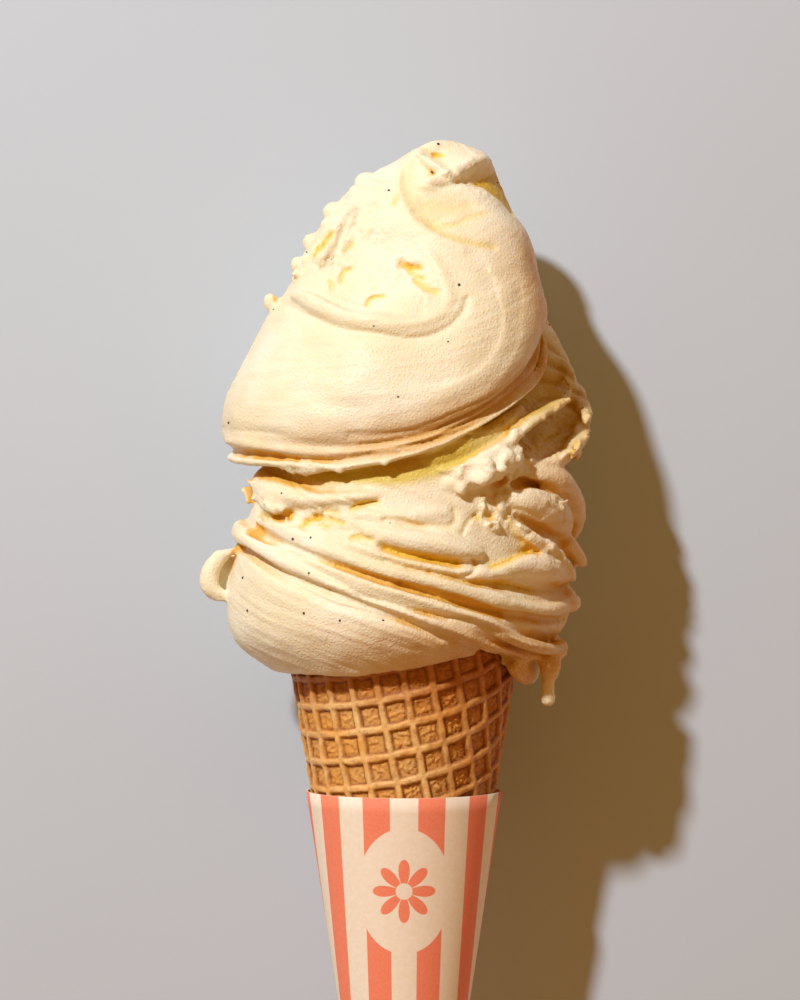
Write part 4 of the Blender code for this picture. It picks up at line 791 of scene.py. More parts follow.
def press_front(obj, strokes, hollows):
    """Presses lines and hollows into the shown side, straight from the front."""
    points = mesh_points(obj)
    facing = point_normals(obj)[:, 2]
    move = np.zeros(len(points))
    for stroke in strokes:
        near, share = stroke_share(points, facing, stroke)
        move[near] += stroke[3] * share
    for hollow in hollows:
        inside, share = hollow_share(points, facing, hollow)
        move[inside] += hollow[1] * share
    points[:, 2] += move
    set_points(obj, points)


def cut(obj, cutter):
    boolean = obj.modifiers.new("cut", "BOOLEAN")
    boolean.operation = "DIFFERENCE"
    boolean.solver = "EXACT"
    boolean.object = cutter
    apply_modifiers(obj)
    old = cutter.data
    bpy.data.objects.remove(cutter)
    bpy.data.meshes.remove(old)


def flatten_back(obj):
    """Small flat spots on the back, where the part rests."""
    points = mesh_points(obj)
    points[:, 2] = np.maximum(points[:, 2], -REST_DEPTH)
    set_points(obj, points)


def turned(rows, sides):
    """Rings of a turned shape from (height, radius) rows."""
    around = np.radians(360 * np.arange(sides) / sides - 180)
    return np.array([
        np.stack([radius * np.sin(around), 0 * around + height, radius * np.cos(around)], 1)
        for height, radius in rows
    ])


def cone_radius(height):
    return CONE_RADIUS + CONE_TAPER * height


def sleeve_radius(height):
    return SLEEVE_RADIUS + SLEEVE_TAPER * (height - SLEEVE_RIM)


# Finer lines, pressed in once the surface is whole, in the form of FRONT_STROKES
FINE_STROKES = [
    ("arc of the top swirl", 0.6, 3, -0.34, 0, [
        (18.4, 84), (19.8, 79), (20.5, 73.9), (18.8, 68.3), (14.5, 63.6), (7.6, 61),
    ]),
    ("second arc of the top swirl", 0.6, 2.6, -0.24, 0, [
        (25, 80), (24.7, 76.8), (23.9, 70.4), (20.5, 64), (15.8, 59.3), (9, 56.4),
    ]),
    ("crease under the band", 0.5, 1, -0.6, 0, [
        (-26.8, 79.6), (-22.3, 76.6), (-18.3, 74.8), (-14.2, 72.9), (-11, 72.2), (-5.1, 71.3),
        (0.2, 70.4), (4.4, 70.7), (7.6, 72), (10.1, 73.7), (12.3, 76.1), (13.1, 78.7),
    ]),
    ("crease inside the band", 1.5, 0.4, -0.5, 0, [
        (-15.2, 80.4), (-12.6, 79.5), (-9.4, 78.1), (-5.1, 76.3), (-1.9, 75), (1.2, 74.4), (3.8, 74.6),
    ]),
    ("ledge of the large pit", 0.9, 0.5, -0.8, 0.9, [(2.5, 82.7), (4.4, 81.2), (6.7, 80.2)]),
    ("low pit", 0.5, 0.4, -0.9, 0.9, [(-4.3, 79.7), (-7, 79.3), (-7.9, 77.8)]),
    ("pit by the band", 0.4, 0.5, -0.8, 0.9, [(-11.6, 85.8), (-13.1, 85), (-13.5, 83)]),
    ("small pit by the band", 0.5, 0.5, -0.8, 0.8, [(-15.9, 83.2), (-15.2, 81.8)]),
    ("left pit's tail", 0.45, 0.45, -0.9, 1, [(-18.6, 91), (-19.5, 88.8)]),
    ("pit between the streaks", 0.5, 0.5, -0.7, 0.8, [(-11.2, 91.6), (-12.2, 90.1)]),
    ("pit under the ridge", 0.6, 0.6, -0.4, 0.7, [(-1.5, 101.5), (-2.2, 99.9)]),
    ("streak in the hollow", 0.5, 0.8, -0.35, 0, [
        (-15.2, 85.1), (-14.6, 89.9), (-12.7, 95.1), (-11, 99.2),
    ]),
    ("second streak in the hollow", 0.8, 0.5, -0.3, 0, [
        (-10.1, 92.4), (-9.5, 97.4), (-7.8, 103.4), (-7, 105.8),
    ]),
    ("third streak in the hollow", 0.7, 0.5, -0.25, 0, [(-3, 84.7), (-2.8, 89.6), (-1.7, 94.9)]),
    ("ridge beside the lumps", 0.6, 0.6, 0.45, 0, [
        (-18.8, 87.6), (-19.1, 91.3), (-18.7, 94.4), (-17, 97.7),
    ]),
    ("second ridge beside the lumps", 0.6, 0.6, 0.45, 0, [
        (-13.7, 87.3), (-13.5, 91.2), (-12, 95.2), (-10.8, 99.2),
    ]),
    ("bright ridge from the peak", 0.9, 0.9, 0.45, 0, [
        (-0.9, 108.6), (-0.9, 103), (0.6, 98.9), (3, 95.5), (5.9, 93.3), (9.8, 91.4), (12.6, 90.1),
    ]),
    ("valley under the peak", 2.6, 1.3, -0.6, 0.3, [
        (0.2, 108.1), (0.2, 103.9), (1.3, 100.1), (3.4, 96.9), (6.4, 95.1),
    ]),
    ("broad valley under the peak", 1.8, 1.8, -0.7, 0.3, [(4.5, 99.6), (8.8, 99), (13.8, 99.2)]),
    ("fold under the valley", 0.5, 1.2, -0.45, 0.5, [
        (5.1, 96), (7.7, 95.1), (10.9, 95.4), (13.7, 96.9), (16.8, 98),
    ]),
    ("second fold under the valley", 1, 0.5, -0.5, 0.6, [
        (5.5, 94.8), (8.1, 93.1), (11.1, 91.8), (14.1, 91), (18.9, 90.1),
    ]),
    ("edge of the next turn", 0.9, 0.35, -0.5, 0, [(3.4, 104.6), (7.7, 103.6), (11.2, 104.1)]),
    ("finger on the peak", 0.75, 0.75, 0.9, 0, [(3, 111.7), (5, 110.4), (7.1, 108.6), (9.1, 107.2)]),
    ("groove under the finger", 0.5, 0.8, -0.7, 0.1, [
        (2.2, 110.7), (4.3, 108.4), (6.5, 106.5), (9.3, 105.6),
    ]),
    ("groove over the finger", 0.6, 0.4, -0.5, 0.3, [
        (4.3, 112.7), (6.1, 111.6), (8.2, 109.8), (10.4, 107.3),
    ]),
    ("pit on the peak", 0.6, 0.6, -0.9, 1, [(6.5, 111.1), (8.3, 111.3)]),
    ("left crease of the peak", 0.4, 0.4, -0.3, 0, [(1.1, 111.2), (0.2, 108.8), (0, 105.7)]),
    ("edge of the top swirl", 1, 0.5, -0.45, 0, [
        (30.2, 75.8), (29.4, 72), (27.5, 66.8), (24.8, 63.2), (22.1, 60.2), (18.2, 57.1), (14, 54.5),
        (9.7, 52.7), (4.4, 51.2), (-3, 50.4), (-11.4, 50.2),
    ]),
    ("fine lip line", 0.4, 0.4, -0.4, 0.2, [
        (31, 69.9), (29.7, 66), (27, 62), (22.9, 58.2), (19.2, 55.6), (14.9, 53.4), (10.7, 51.7),
        (5.4, 50.2), (-0.9, 48.9), (-9.3, 48.1),
    ]),
    ("second fine lip line", 0.35, 0.35, -0.4, 0.3, [
        (31.4, 68.3), (30.4, 65.6), (27.8, 61.8), (23.8, 57.8), (19.9, 54.9), (15.6, 52.3),
        (11.3, 50.6), (5.8, 48.7), (-0.9, 47.4),
    ]),
    ("olive line", 0.4, 0.4, 0.3, 0, [
        (34.3, 76.3), (36.5, 70.4), (36.4, 66.5), (34.7, 62.3), (31.8, 59.3),
    ]),
    ("second olive line", 0.4, 0.4, 0.25, 0, [(30.9, 59.5), (28, 57.1), (24.7, 55.1), (21.4, 52.4)]),
    ("thin flap under the lip", 0.4, 0.4, 0.6, 0, [(5.9, 46.4), (9.6, 48.3), (14.3, 49.4)]),
    ("second thin flap", 0.35, 0.35, 0.5, 0, [(13.9, 50.2), (16.5, 50.9), (18.8, 51.1)]),
    ("wing line", 0.4, 0.6, -0.5, 0.3, [(38.9, 64), (38.6, 60.4), (36.9, 57.2), (35, 54.9)]),
    ("second wing line", 0.4, 0.4, -0.4, 0.3, [(35.1, 51.9), (32.8, 50.1), (30.1, 48.6), (27.9, 46.8)]),
    ("notch of the wing", 0.5, 0.5, -0.9, 0.8, [(37.4, 48.8), (36.4, 46.6), (35.3, 45.1)]),
    ("crease over the left lip", 0.5, 0.7, -0.5, 0.1, [
        (-35.9, 45.8), (-30.8, 46.1), (-24.2, 45.4), (-17.7, 44.9), (-12.4, 45.1), (-6.8, 46),
    ]),
    ("crack by the torn lump", 0.4, 0.4, -0.6, 0.4, [(-24.6, 40.6), (-23, 38.9), (-21.5, 37.1)]),
    ("groove under the finger of the lump", 0.4, 0.7, -0.8, 1, [
        (-11, 34.6), (-8.5, 35.7), (-5.9, 36.1),
    ]),
    ("crack under the lump", 0.4, 0.5, -0.6, 0.8, [(-16.8, 34), (-14, 33.6)]),
    ("long pit under the lump", 0.45, 0.5, -0.8, 1, [(-18.5, 32.5), (-15.7, 32.3), (-12.9, 31.4)]),
    ("low pit under the lump", 0.4, 0.4, -0.7, 0.9, [(-17.8, 31.2), (-15.9, 30.6)]),
    ("right pit under the lump", 0.4, 0.5, -0.8, 0.9, [(-11, 28.3), (-9.3, 28.7), (-6.6, 28.1)]),
    ("second dark pit", 0.5, 0.5, -0.8, 0.7, [(-24.1, 33.5), (-24.5, 32.5)]),
    ("crease round the slot", 0.4, 0.6, -0.7, 0.1, [
        (-4, 23.9), (1.2, 22.2), (6.3, 21), (11.7, 20.3), (14.3, 20.9), (14.9, 22.4), (14.5, 23.6),
    ]),
    ("crease under the round band", 0.4, 0.9, -0.6, 0.2, [
        (-4, 32.5), (-0.5, 32.1), (2.9, 31.2), (9.2, 31), (10.7, 32.3), (10.3, 33.8),
    ]),
    ("faint crease over the round band", 0.4, 0.4, -0.3, 0, [
        (-15.7, 38.4), (-9.3, 35.2), (-4, 34), (1.2, 33.8),
    ]),
    ("crease over the lower slot", 0.35, 0.35, -0.35, 0.6, [
        (7.5, 20.1), (11.7, 19.3), (16, 18.8), (19.9, 18.7),
    ]),
    ("crease of the second band", 0.4, 0.4, -0.5, 0.2, [(22.4, 15.6), (26.8, 14.8), (30.1, 13.9)]),
    ("crease over the big lobe", 0.35, 0.9, -0.7, 0, [
        (-38.5, 27.5), (-35.6, 26.1), (-33.2, 24.4), (-30.4, 22.4), (-27.5, 20.5), (-24.2, 18.9),
        (-21, 17.3), (-17.8, 15.8), (-14.6, 14.4), (-11.4, 13.6), (-8.2, 12.8), (-4, 11.7),
        (-0.9, 11.1), (3.3, 9.4), (7.5, 7.4),
    ]),
    ("valley between the bands", 0.6, 1, -0.9, 0.2, [
        (-0.9, 18.9), (3.3, 17.4), (7.5, 15.7), (11.7, 14.4), (16, 13.3), (19.9, 12.2),
    ]),
    ("left end of that valley", 0.4, 0.6, -0.5, 0.1, [
        (-22.1, 24.4), (-17.7, 23.4), (-13.5, 22.2), (-9.3, 21.2), (-4, 19.9), (-0.9, 18.9),
    ]),
    ("faint line in the upper band", 0.4, 0.4, -0.3, 0, [(-33.1, 27.5), (-27.5, 25.9), (-22.1, 24.4)]),
    ("line in the lower band", 0.35, 0.45, -0.45, 0, [
        (-15.6, 17.8), (-11.4, 16.6), (-7.2, 15.7), (-3, 14.7), (1.2, 13.4), (5.4, 12.4), (9.2, 11.3),
    ]),
    ("crease by the crest", 0.4, 0.5, -0.5, 0.3, [(16.1, 33.8), (13.9, 32.1), (12.2, 29.1)]),
    ("yellow pit by the crest", 0.6, 0.6, -0.9, 1, [(17.3, 33.3), (18.6, 32.7)]),
    ("small yellow pit", 0.5, 0.5, -0.6, 1, [(14.8, 32.9), (15.8, 32.3)]),
    ("pit in the small curl", 0.5, 0.5, -0.8, 0.4, [(19, 31), (19.4, 30.8)]),
    ("crease in the right lobe", 0.5, 0.7, -0.5, 0.3, [(22.9, 34.6), (25.7, 34), (29, 32.9)]),
    ("underside of the right lobe", 0.4, 1.2, -0.8, 0.3, [
        (27.2, 29.9), (30.1, 31), (33.4, 31.6), (37, 30.9),
    ]),
    ("edge under the frosted face", 0.5, 1.4, -0.8, 0.2, [
        (28, 17.3), (31.4, 18), (34.8, 18.4), (38.1, 17.8),
    ]),
    ("flap over the skirt", 0.4, 1.6, -0.8, 0, [(17.5, 9.9), (21.3, 7.5), (25.7, 5.2), (33.1, 3.8)]),
    ("line in the skirt", 0.4, 0.4, -0.4, 0, [(27, 3), (29.2, -0.3), (29.7, -2.7)]),
    ("rough patch of the big lobe", 0.6, 0.6, -0.3, 0, [(-4, 6.9), (0.2, 5.1), (5, 4.6)]),
]

# The distance between the thin lines along the lip, and between the arcs on the wing
LIP_LINE_PITCH = 1.7
WING_ARC_PITCH = 3.4

# How far the fine detail moves the surface of the ice cream
GRAIN_HEIGHT = 0.05
SWIRL_LINE_HEIGHT = 0.12
LIP_LINE_DEPTH = 0.42
WING_ARC_DEPTH = 0.5
CRUMB_HEIGHT = 0.8

# Rough, torn places as (angle, height, reach round the axis, reach along it, amount)
TORN = [
    (-30, 96, 9, 9, 1.0), (-44, 88, 6, 8, 0.9), (-12, 86, 9, 7, 0.75), (6, 82, 4, 5, 1.0),
    (-58, 37, 6, 7, 0.55), (-32, 32, 7, 3.6, 0.9), (-14, 30.5, 5, 3, 0.7), (42, 42, 5, 6, 1.0),
    (36, 34, 4, 5, 1.0), (62, 36, 9, 5, 0.7), (60, 24, 9, 4, 0.55), (66, 47, 9, 3.4, 1.0),
    (80, 54, 7, 6, 1.0), (46, 51.6, 8, 2.6, 0.8), (-34, 43.4, 7, 1.6, 0.8), (48, 106, 5, 5, 0.6),
    (10, 43.4, 6, 1.6, 0.5),
]


def torn_share(points):
    """0 on smooth cream to 1 where it is torn."""
    share = np.zeros(len(points))
    reach = np.maximum(np.hypot(points[:, 0], points[:, 2]), 8)
    for angle, height, wide, tall, amount in TORN:
        flat = unrolled(points, angle, reach)
        across = flat[:, 0] - np.radians(angle) * reach
        off = np.hypot(across / wide, (flat[:, 1] - height) / tall)
        share = np.maximum(share, amount * np.exp(-(off**3)))
    return share


def swirl_lines(points):
    """Fine lines that the spatula left, along the folds of each mound."""
    angle = np.arctan2(points[:, 0], points[:, 2])
    turn = angle * UNROLL_RADIUS
    low = closed_line(LIP, np.degrees(angle))
    upper = points[:, 1] > 44
    across = np.where(upper, points[:, 1] - 0.7 * low, points[:, 1] + 0.36 * turn)
    layer = np.where(upper, 0.0, 50.0)
    broad = soft_noise(np.stack([turn * 0.06, across * 0.9, layer], 1), 1.0, 7)
    narrow = soft_noise(np.stack([turn * 0.09, across * 1.7, layer], 1), 1.0, 8)
    return np.where(upper, broad, 1.7 * broad) + 0.5 * narrow


def over_the_lip(points):
    """The angle of each point round the axis, and how far it lies over the top swirl's lower edge."""
    turn = np.degrees(np.arctan2(points[:, 0], points[:, 2]))
    return turn, points[:, 1] - np.interp(turn, *np.array(smooth_rows(LIP, 200)).T)


def grooves(distance, pitch):
    """Even lines, 0 on the ridges to 1 in the grooves."""
    return 0.5 - 0.5 * np.cos(2 * math.pi * distance / pitch)


def lip_lines(points):
    """Thin lines along the lip and arcs across the wing, 0 on the ridges to 1 in the grooves."""
    turn, over = over_the_lip(points)
    reach = np.hypot(points[:, 0], points[:, 2])
    wave = over + 0.5 * soft_noise(points, 9, 21)
    lip = np.interp(over, [1, 1.8, 5.5, 8], [0, 1, 0.8, 0])
    lip *= np.interp(turn, [-30, 5, 80, 100], [0, 1, 1, 0])
    lip *= grooves(wave, LIP_LINE_PITCH)
    wing = np.interp(over, [-24, -18, -3, -1.4], [0, 1, 1, 0])
    wing *= np.interp(turn, [52, 62, 112, 126], [0, 1, 1, 0])
    wing *= np.interp(points[:, 1], [46, 50], [0, 1]) * grooves(wave + 0.5 * reach, WING_ARC_PITCH)
    return lip, wing**2


def fine_detail(obj):
    """Grain, spatula lines, the lines along the lip and torn crumbs."""
    points = mesh_points(obj)
    lip, wing = lip_lines(points)
    torn = torn_share(points)
    crumbs = np.abs(soft_noise(points, 1.5, 11)) - 0.25 + 0.6 * soft_noise(points, 3.2, 12)
    move = GRAIN_HEIGHT * soft_noise(points, 1.0, 13) + SWIRL_LINE_HEIGHT * swirl_lines(points)
    move = move - LIP_LINE_DEPTH * lip - WING_ARC_DEPTH * wing + CRUMB_HEIGHT * torn * crumbs
    set_points(obj, points + point_normals(obj) * move[:, None])


def colour_shares(obj):
    """How torn each point is, and where shade is painted into its colour: a brownish tone with painted
    shade by the lip, painted shade on the shown right and underneath, olive shade under the lip, brown
    shade in the lines and golden shade in the pits; all as attributes for the material.
    """
    points = mesh_points(obj)
    height = points[:, 1]
    turn, over_lip = over_the_lip(points)
    reach = np.hypot(points[:, 0], points[:, 2])
    lip_line, wing_arc = lip_lines(points)
    write_attribute(obj, "torn", torn_share(points))
    # Brownish tone with painted shade in a band over the lip's edge, and painted shade up the shown
    # right edge, on the shown right side and on the low underside; the drip is kept clear of it.
    tan_and_shade = np.interp(over_lip, [0.2, 1.6, 5, 11], [0, 1, 0.75, 0])
    tan_and_shade *= np.interp(turn, [-45, -10, 30, 85], [0.2, 0.75, 1, 1])
    edge = np.interp(turn, [34, 50, 60, 110], [0, 0.35, 1, 0.6])
    edge *= np.interp(height, [50, 60, 88, 98], [0, 1, 1, 0])
    tan_and_shade = np.maximum(tan_and_shade, edge * (over_lip > 0))
    side = 0.6 * np.interp(turn, [44, 64, 105, 135], [0, 1, 1, 0.2])
    side *= np.interp(height, [-4, 0, 72, 82], [1, 1, 1, 0])
    low = np.interp(height, [-3, 0, 6, 13], [1, 1, 0.85, 0])
    low *= np.interp(turn, [-45, 0, 25], [0, 0.6, 1])
    drip = np.exp(-(((height + 6.5) / 4.4) ** 2)) * (points[:, 0] > 28)
    tan_and_shade = np.maximum(np.maximum(tan_and_shade, low), side) * (1 - drip)
    write_attribute(obj, "tan_and_shade", tan_and_shade)
    # Painted shade: olive shade under the top swirl's lip and on the wing behind it, where the lip
    # shades them, with a painted golden glow of light through the cream.
    tall = np.interp(turn, [-60, -20, 0, 30], [3, 3.4, 5.6, 7])
    under = np.interp(over_lip / tall, [-1.15, -0.8, -0.1, 0.02], [0, 1, 1, 0])
    under *= np.interp(reach, [33.4, 34.6], [1, 0])
    under *= np.interp(turn, [-75, -55, 22, 48], [0, 1, 1, 0.3])
    wing = np.interp(turn, [44, 56, 112, 130], [0, 1, 1, 0])
    wing *= np.interp(over_lip, [-4, -1, 0], [1, 0.8, 0])
    wing *= np.interp(height, [45, 49], [0, 1]) * np.interp(reach, [35.5, 38], [0.75, 0.3])
    write_attribute(obj, "under_lip_shade", np.maximum(under, wing))
    # Painted shade: brown in the grooves of the lines along the lip and the wing's arcs, and over the
    # shaded wing.
    write_attribute(obj, "line", np.maximum(np.maximum(lip_line, 0.8 * wing_arc), 0.4 * wing))
    # Painted shade: golden shade, with a painted glow of light through the cream, in the pits, cracks
    # and hollows pressed into the shown side.
    facing = np.maximum(point_normals(obj)[:, 2], 0.2 * (points[:, 2] > 0))
    pit_shade = np.zeros(len(points))
    for stroke in FRONT_STROKES + FINE_STROKES:
        near, share = stroke_share(points, facing, stroke)
        pit_shade[near] = np.maximum(pit_shade[near], stroke[4] * share**1.2)
    for hollow in FRONT_HOLLOWS:
        inside, share = hollow_share(points, facing, hollow)
        pit_shade[inside] = np.maximum(pit_shade[inside], hollow[3] * share**2)
    write_attribute(obj, "pit_shade", spread(obj, pit_shade, 1))


def write_attribute(obj, name, values):
    layer = obj.data.attributes.new(name, "FLOAT", "POINT")
    layer.data.foreach_set("value", np.ascontiguousarray(values, np.float32))


def hemisphere(count):
    """Even directions about +Z."""
    index = np.arange(count) + 0.5
    lift = np.sqrt(1 - index / count)
    flat = np.sqrt(index / count)
    turn = math.pi * (1 + math.sqrt(5)) * index
    return np.stack([flat * np.cos(turn), flat * np.sin(turn), lift], 1)


def surface_tree(obj, points):
    """The object's faces with these points, for rays to hit."""
    faces = [tuple(face.vertices) for face in obj.data.polygons]
    return BVHTree.FromPolygons([Vector(p) for p in points], faces)


def cavity_share(obj, rays, reach):
    """How much of the sky over each point is hidden by the piece itself, 0 to 1."""
    points = mesh_points(obj)
    normals = point_normals(obj)
    tree = surface_tree(obj, points)
    helper = np.where(np.abs(normals[:, 1:2]) > 0.8, np.array([1.0, 0, 0]), np.array([0, 1.0, 0]))
    side = np.cross(helper, normals)
    side /= np.linalg.norm(side, axis=1, keepdims=True)
    other = np.cross(normals, side)
    starts = points + normals * 0.12
    hidden = np.zeros(len(points))
    for along in hemisphere(rays):
        ways = side * along[0] + other * along[1] + normals * along[2]
        for k, (start, way) in enumerate(zip(starts, ways)):
            if tree.ray_cast(Vector(start), Vector(way), reach)[0] is not None:
                hidden[k] += 1
    return hidden / rays


def spread(obj, values, turns):
    """The values averaged with their neighbours', this many times."""
    edges = np.empty(len(obj.data.edges) * 2, np.int32)
    obj.data.edges.foreach_get("vertices", edges)
    edges = edges.reshape(-1, 2)
    count = np.bincount(edges.ravel(), minlength=len(values)) + 1
    for _ in range(turns):
        total = values + np.bincount(edges[:, 0], values[edges[:, 1]], len(values))
        total += np.bincount(edges[:, 1], values[edges[:, 0]], len(values))
        values = total / count
    return values


# Materials


class Nodes:
    """A small helper that adds and links the nodes of one material."""

    def __init__(self, name):
        self.material = bpy.data.materials.new(name)
        self.material.use_nodes = True
        self.tree = self.material.node_tree
        self.shader = self.tree.nodes["Principled BSDF"]
        self.place = self.add("ShaderNodeTexCoord").outputs["Object"]

    def add(self, kind, **settings):
        node = self.tree.nodes.new(kind)
        for key, value in settings.items():
            setattr(node, key, value)
        return node

    def feed(self, socket, value):
        if isinstance(value, bpy.types.NodeSocket):
            self.tree.links.new(value, socket)
        else:
            socket.default_value = value

    def math(self, operation, *values):
        node = self.add("ShaderNodeMath", operation=operation)
        for socket, value in zip(node.inputs, values):
            self.feed(socket, value)
        return node.outputs[0]

    def times(self, first, second):
        return self.math("MULTIPLY", first, second)

    def ramp(self, value, low, high, to_low=0.0, to_high=1.0):
        """The value smoothly mapped from low..high."""
        node = self.add("ShaderNodeMapRange", interpolation_type="SMOOTHSTEP")
        keys = ("Value", "From Min", "From Max", "To Min", "To Max")
        for key, number in zip(keys, (value, low, high, to_low, to_high)):
            self.feed(node.inputs[key], number)
        return node.outputs["Result"]

    def noise(self, scale, detail=3.0, rough=0.55, stretch=None):
        """Noise with about this many features in a millimetre."""
        vector = self.place
        if stretch:
            mapping = self.add("ShaderNodeMapping")
            self.feed(mapping.inputs["Vector"], vector)
            mapping.inputs["Scale"].default_value = stretch
            vector = mapping.outputs["Vector"]
        node = self.add("ShaderNodeTexNoise")
        self.feed(node.inputs["Vector"], vector)
        node.inputs["Scale"].default_value = scale * 1000
        node.inputs["Detail"].default_value = detail
        node.inputs["Roughness"].default_value = rough
        return node.outputs["Fac"]

    def cells(self, scale):
        node = self.add("ShaderNodeTexVoronoi", feature="F1")
        self.feed(node.inputs["Vector"], self.place)
        node.inputs["Scale"].default_value = scale * 1000
        return node.outputs["Distance"]

    def attribute(self, name):
        return self.add("ShaderNodeAttribute", attribute_name=name).outputs["Fac"]

    def mix(self, share, first, second):
        node = self.add("ShaderNodeMix", data_type="RGBA", blend_type="MIX")
        self.feed(node.inputs[0], share)
        for socket, colour in ((node.inputs[6], first), (node.inputs[7], second)):
            self.feed(socket, colour if isinstance(colour, bpy.types.NodeSocket) else (*colour, 1))
        return node.outputs[2]

    def bump(self, height, strength, depth, before=None):
        node = self.add("ShaderNodeBump")
        node.inputs["Strength"].default_value = strength
        node.inputs["Distance"].default_value = depth * MM
        self.feed(node.inputs["Height"], height)
        if before is not None:
            self.feed(node.inputs["Normal"], before)
        return node.outputs["Normal"]

    def set(self, **values):
        for key, value in values.items():
            self.feed(self.shader.inputs[key.replace("_", " ")], value)
        return self.material


CREAM = (0.89, 0.80, 0.56)
CREAM_LIGHT = (0.94, 0.875, 0.69)
CREAM_STREAK = (0.78, 0.56, 0.32)
# The next six colours are painted shade: brownish by the lip and on the shaded side, olive under the
# lip, amber in the hollows, golden in the pits, darker in the cracks, brown in the lines.
CREAM_TAN_SHADE = (0.72, 0.40, 0.10)
CREAM_OLIVE_SHADE = (0.70, 0.53, 0.06)
CREAM_CAVITY_SHADE = (0.76, 0.43, 0.05)
CREAM_PIT_SHADE = (0.86, 0.58, 0.01)
CREAM_CRACK_SHADE = (0.62, 0.36, 0.005)
CREAM_LINE_SHADE = (0.56, 0.30, 0.04)


def ice_cream_material():
    n = Nodes("ice_cream_look")
    cavity_shade = n.attribute("cavity_shade")
    torn = n.attribute("torn")
    cloud = n.ramp(n.noise(0.06), 0.35, 0.7)
    streak = n.ramp(n.noise(0.22, 4, 0.6, stretch=(0.25, 1.6, 0.25)), 0.56, 0.78)
    grains = n.ramp(n.cells(1.5), 0.0, 0.6, 1.0, 0.0)
    colour = n.mix(cloud, CREAM, CREAM_LIGHT)
    colour = n.mix(n.times(streak, 0.30), colour, CREAM_STREAK)
    # Brownish tone with painted shade by the lip, on the shown right side and underneath; grains let
    # lighter cream through it.
    tan_and_shade = n.times(n.attribute("tan_and_shade"), n.ramp(n.noise(0.3), 0.25, 0.6, 0.65, 1.0))
    colour = n.mix(tan_and_shade, colour, CREAM_TAN_SHADE)
    colour = n.mix(n.times(grains, n.times(tan_and_shade, 0.6)), colour, CREAM_LIGHT)
    colour = n.mix(n.times(torn, 0.35), colour, CREAM_LIGHT)
    # Painted shade: amber in the hollows and creases, where shade falls.
    colour = n.mix(n.ramp(cavity_shade, 0.24, 0.54, 0.0, 0.9), colour, CREAM_CAVITY_SHADE)
    # Painted shade: golden in the pressed pits and hollows, darker still in their deepest cracks.
    colour = n.mix(n.times(n.attribute("pit_shade"), 0.85), colour, CREAM_PIT_SHADE)
    # Painted shade: olive under the lip and on the shaded wing.
    colour = n.mix(n.times(n.attribute("under_lip_shade"), 0.9), colour, CREAM_OLIVE_SHADE)
    # Painted shade: brown in the pressed lines and on the shaded wing.
    colour = n.mix(n.times(n.attribute("line"), 0.8), colour, CREAM_LINE_SHADE)
    colour = n.mix(n.ramp(n.attribute("pit_shade"), 0.7, 1.0, 0.0, 0.7), colour, CREAM_CRACK_SHADE)
    normal = n.bump(grains, 0.5, 0.16)
    normal = n.bump(n.noise(1.3, 3, 0.55), 0.5, 0.16, normal)
    rough = n.ramp(n.noise(2.4), 0.3, 0.7, 0.34, 0.60)
    n.shader.subsurface_method = "RANDOM_WALK"
    return n.set(
        Base_Color=colour,
        Roughness=rough,
        Normal=normal,
        Specular_IOR_Level=0.45,
        Subsurface_Weight=0.22,
        Subsurface_Radius=(1.0, 0.75, 0.35),
        Subsurface_Scale=1.3 * MM,
        IOR=1.38,
    )


WAFFLE_GOLD = (0.84, 0.37, 0.05)
WAFFLE_LIGHT = (0.97, 0.64, 0.27)
WAFFLE_BROWN = (0.26, 0.065, 0.008)
WAFFLE_FLOOR = (0.76, 0.42, 0.13)
# Painted shadow and shade colour for the waffle, partly darker baking.
WAFFLE_SHADOW_TOAST = (0.50, 0.15, 0.012)


def waffle_material():
    n = Nodes("waffle_look")
    relief = n.attribute("relief")
    edge = n.attribute("edge")
    bake = n.ramp(n.noise(0.13, 4, 0.6), 0.32, 0.7)
    spots = n.ramp(n.noise(0.75, 5, 0.65), 0.50, 0.74)
    colour = n.mix(relief, WAFFLE_FLOOR, WAFFLE_LIGHT)
    colour = n.mix(n.times(bake, 0.7), colour, WAFFLE_GOLD)
    # Painted shadow of the ice cream on the top rows, and painted shade, partly darker baking, down the
    # shown right side.
    shadow_and_toast = n.times(n.attribute("shadow_and_toast"), n.ramp(n.noise(0.35, 4, 0.6), 0.25, 0.65, 0.6, 1.0))
    colour = n.mix(n.times(shadow_and_toast, 0.95), colour, WAFFLE_SHADOW_TOAST)
    colour = n.mix(n.times(spots, 0.55), colour, WAFFLE_BROWN)
    # Darker brown at the feet of the ridges: partly the waffle's baked colour, partly painted shade in
    # the creases.
    rim = n.times(edge, n.ramp(n.noise(0.5, 3, 0.6), 0.25, 0.6, 0.45, 1.0))
    colour = n.mix(n.times(rim, 0.95), colour, WAFFLE_BROWN)
    normal = n.bump(n.noise(1.1, 5, 0.7), 0.7, 0.40)
    normal = n.bump(n.noise(4.0, 3, 0.6), 0.35, 0.12, normal)
    rough = n.ramp(n.noise(0.9), 0.3, 0.7, 0.34, 0.60)
    return n.set(
        Base_Color=colour,
        Roughness=rough,
        Normal=normal,
        Specular_IOR_Level=0.4,
        Subsurface_Weight=0.08,
        Subsurface_Radius=(1.0, 0.5, 0.2),
        Subsurface_Scale=1.2 * MM,
        IOR=1.45,
    )


PAPER_CREAM = (0.93, 0.80, 0.64)
PAPER_PALE = (0.96, 0.86, 0.72)
PAPER_CORAL = (0.93, 0.235, 0.125)
PAPER_CORAL_PALE = (0.95, 0.30, 0.18)
STRIPE_WIDTH = 6.17
STRIPE_NARROWING = 0.0031
PRINT_SOFTNESS = 0.05
OVAL_HEIGHT = -47.8
OVAL_HALF = (10.6, 13.7)
FLOWER_RADIUS = 6.9
FLOWER_PETALS = 8


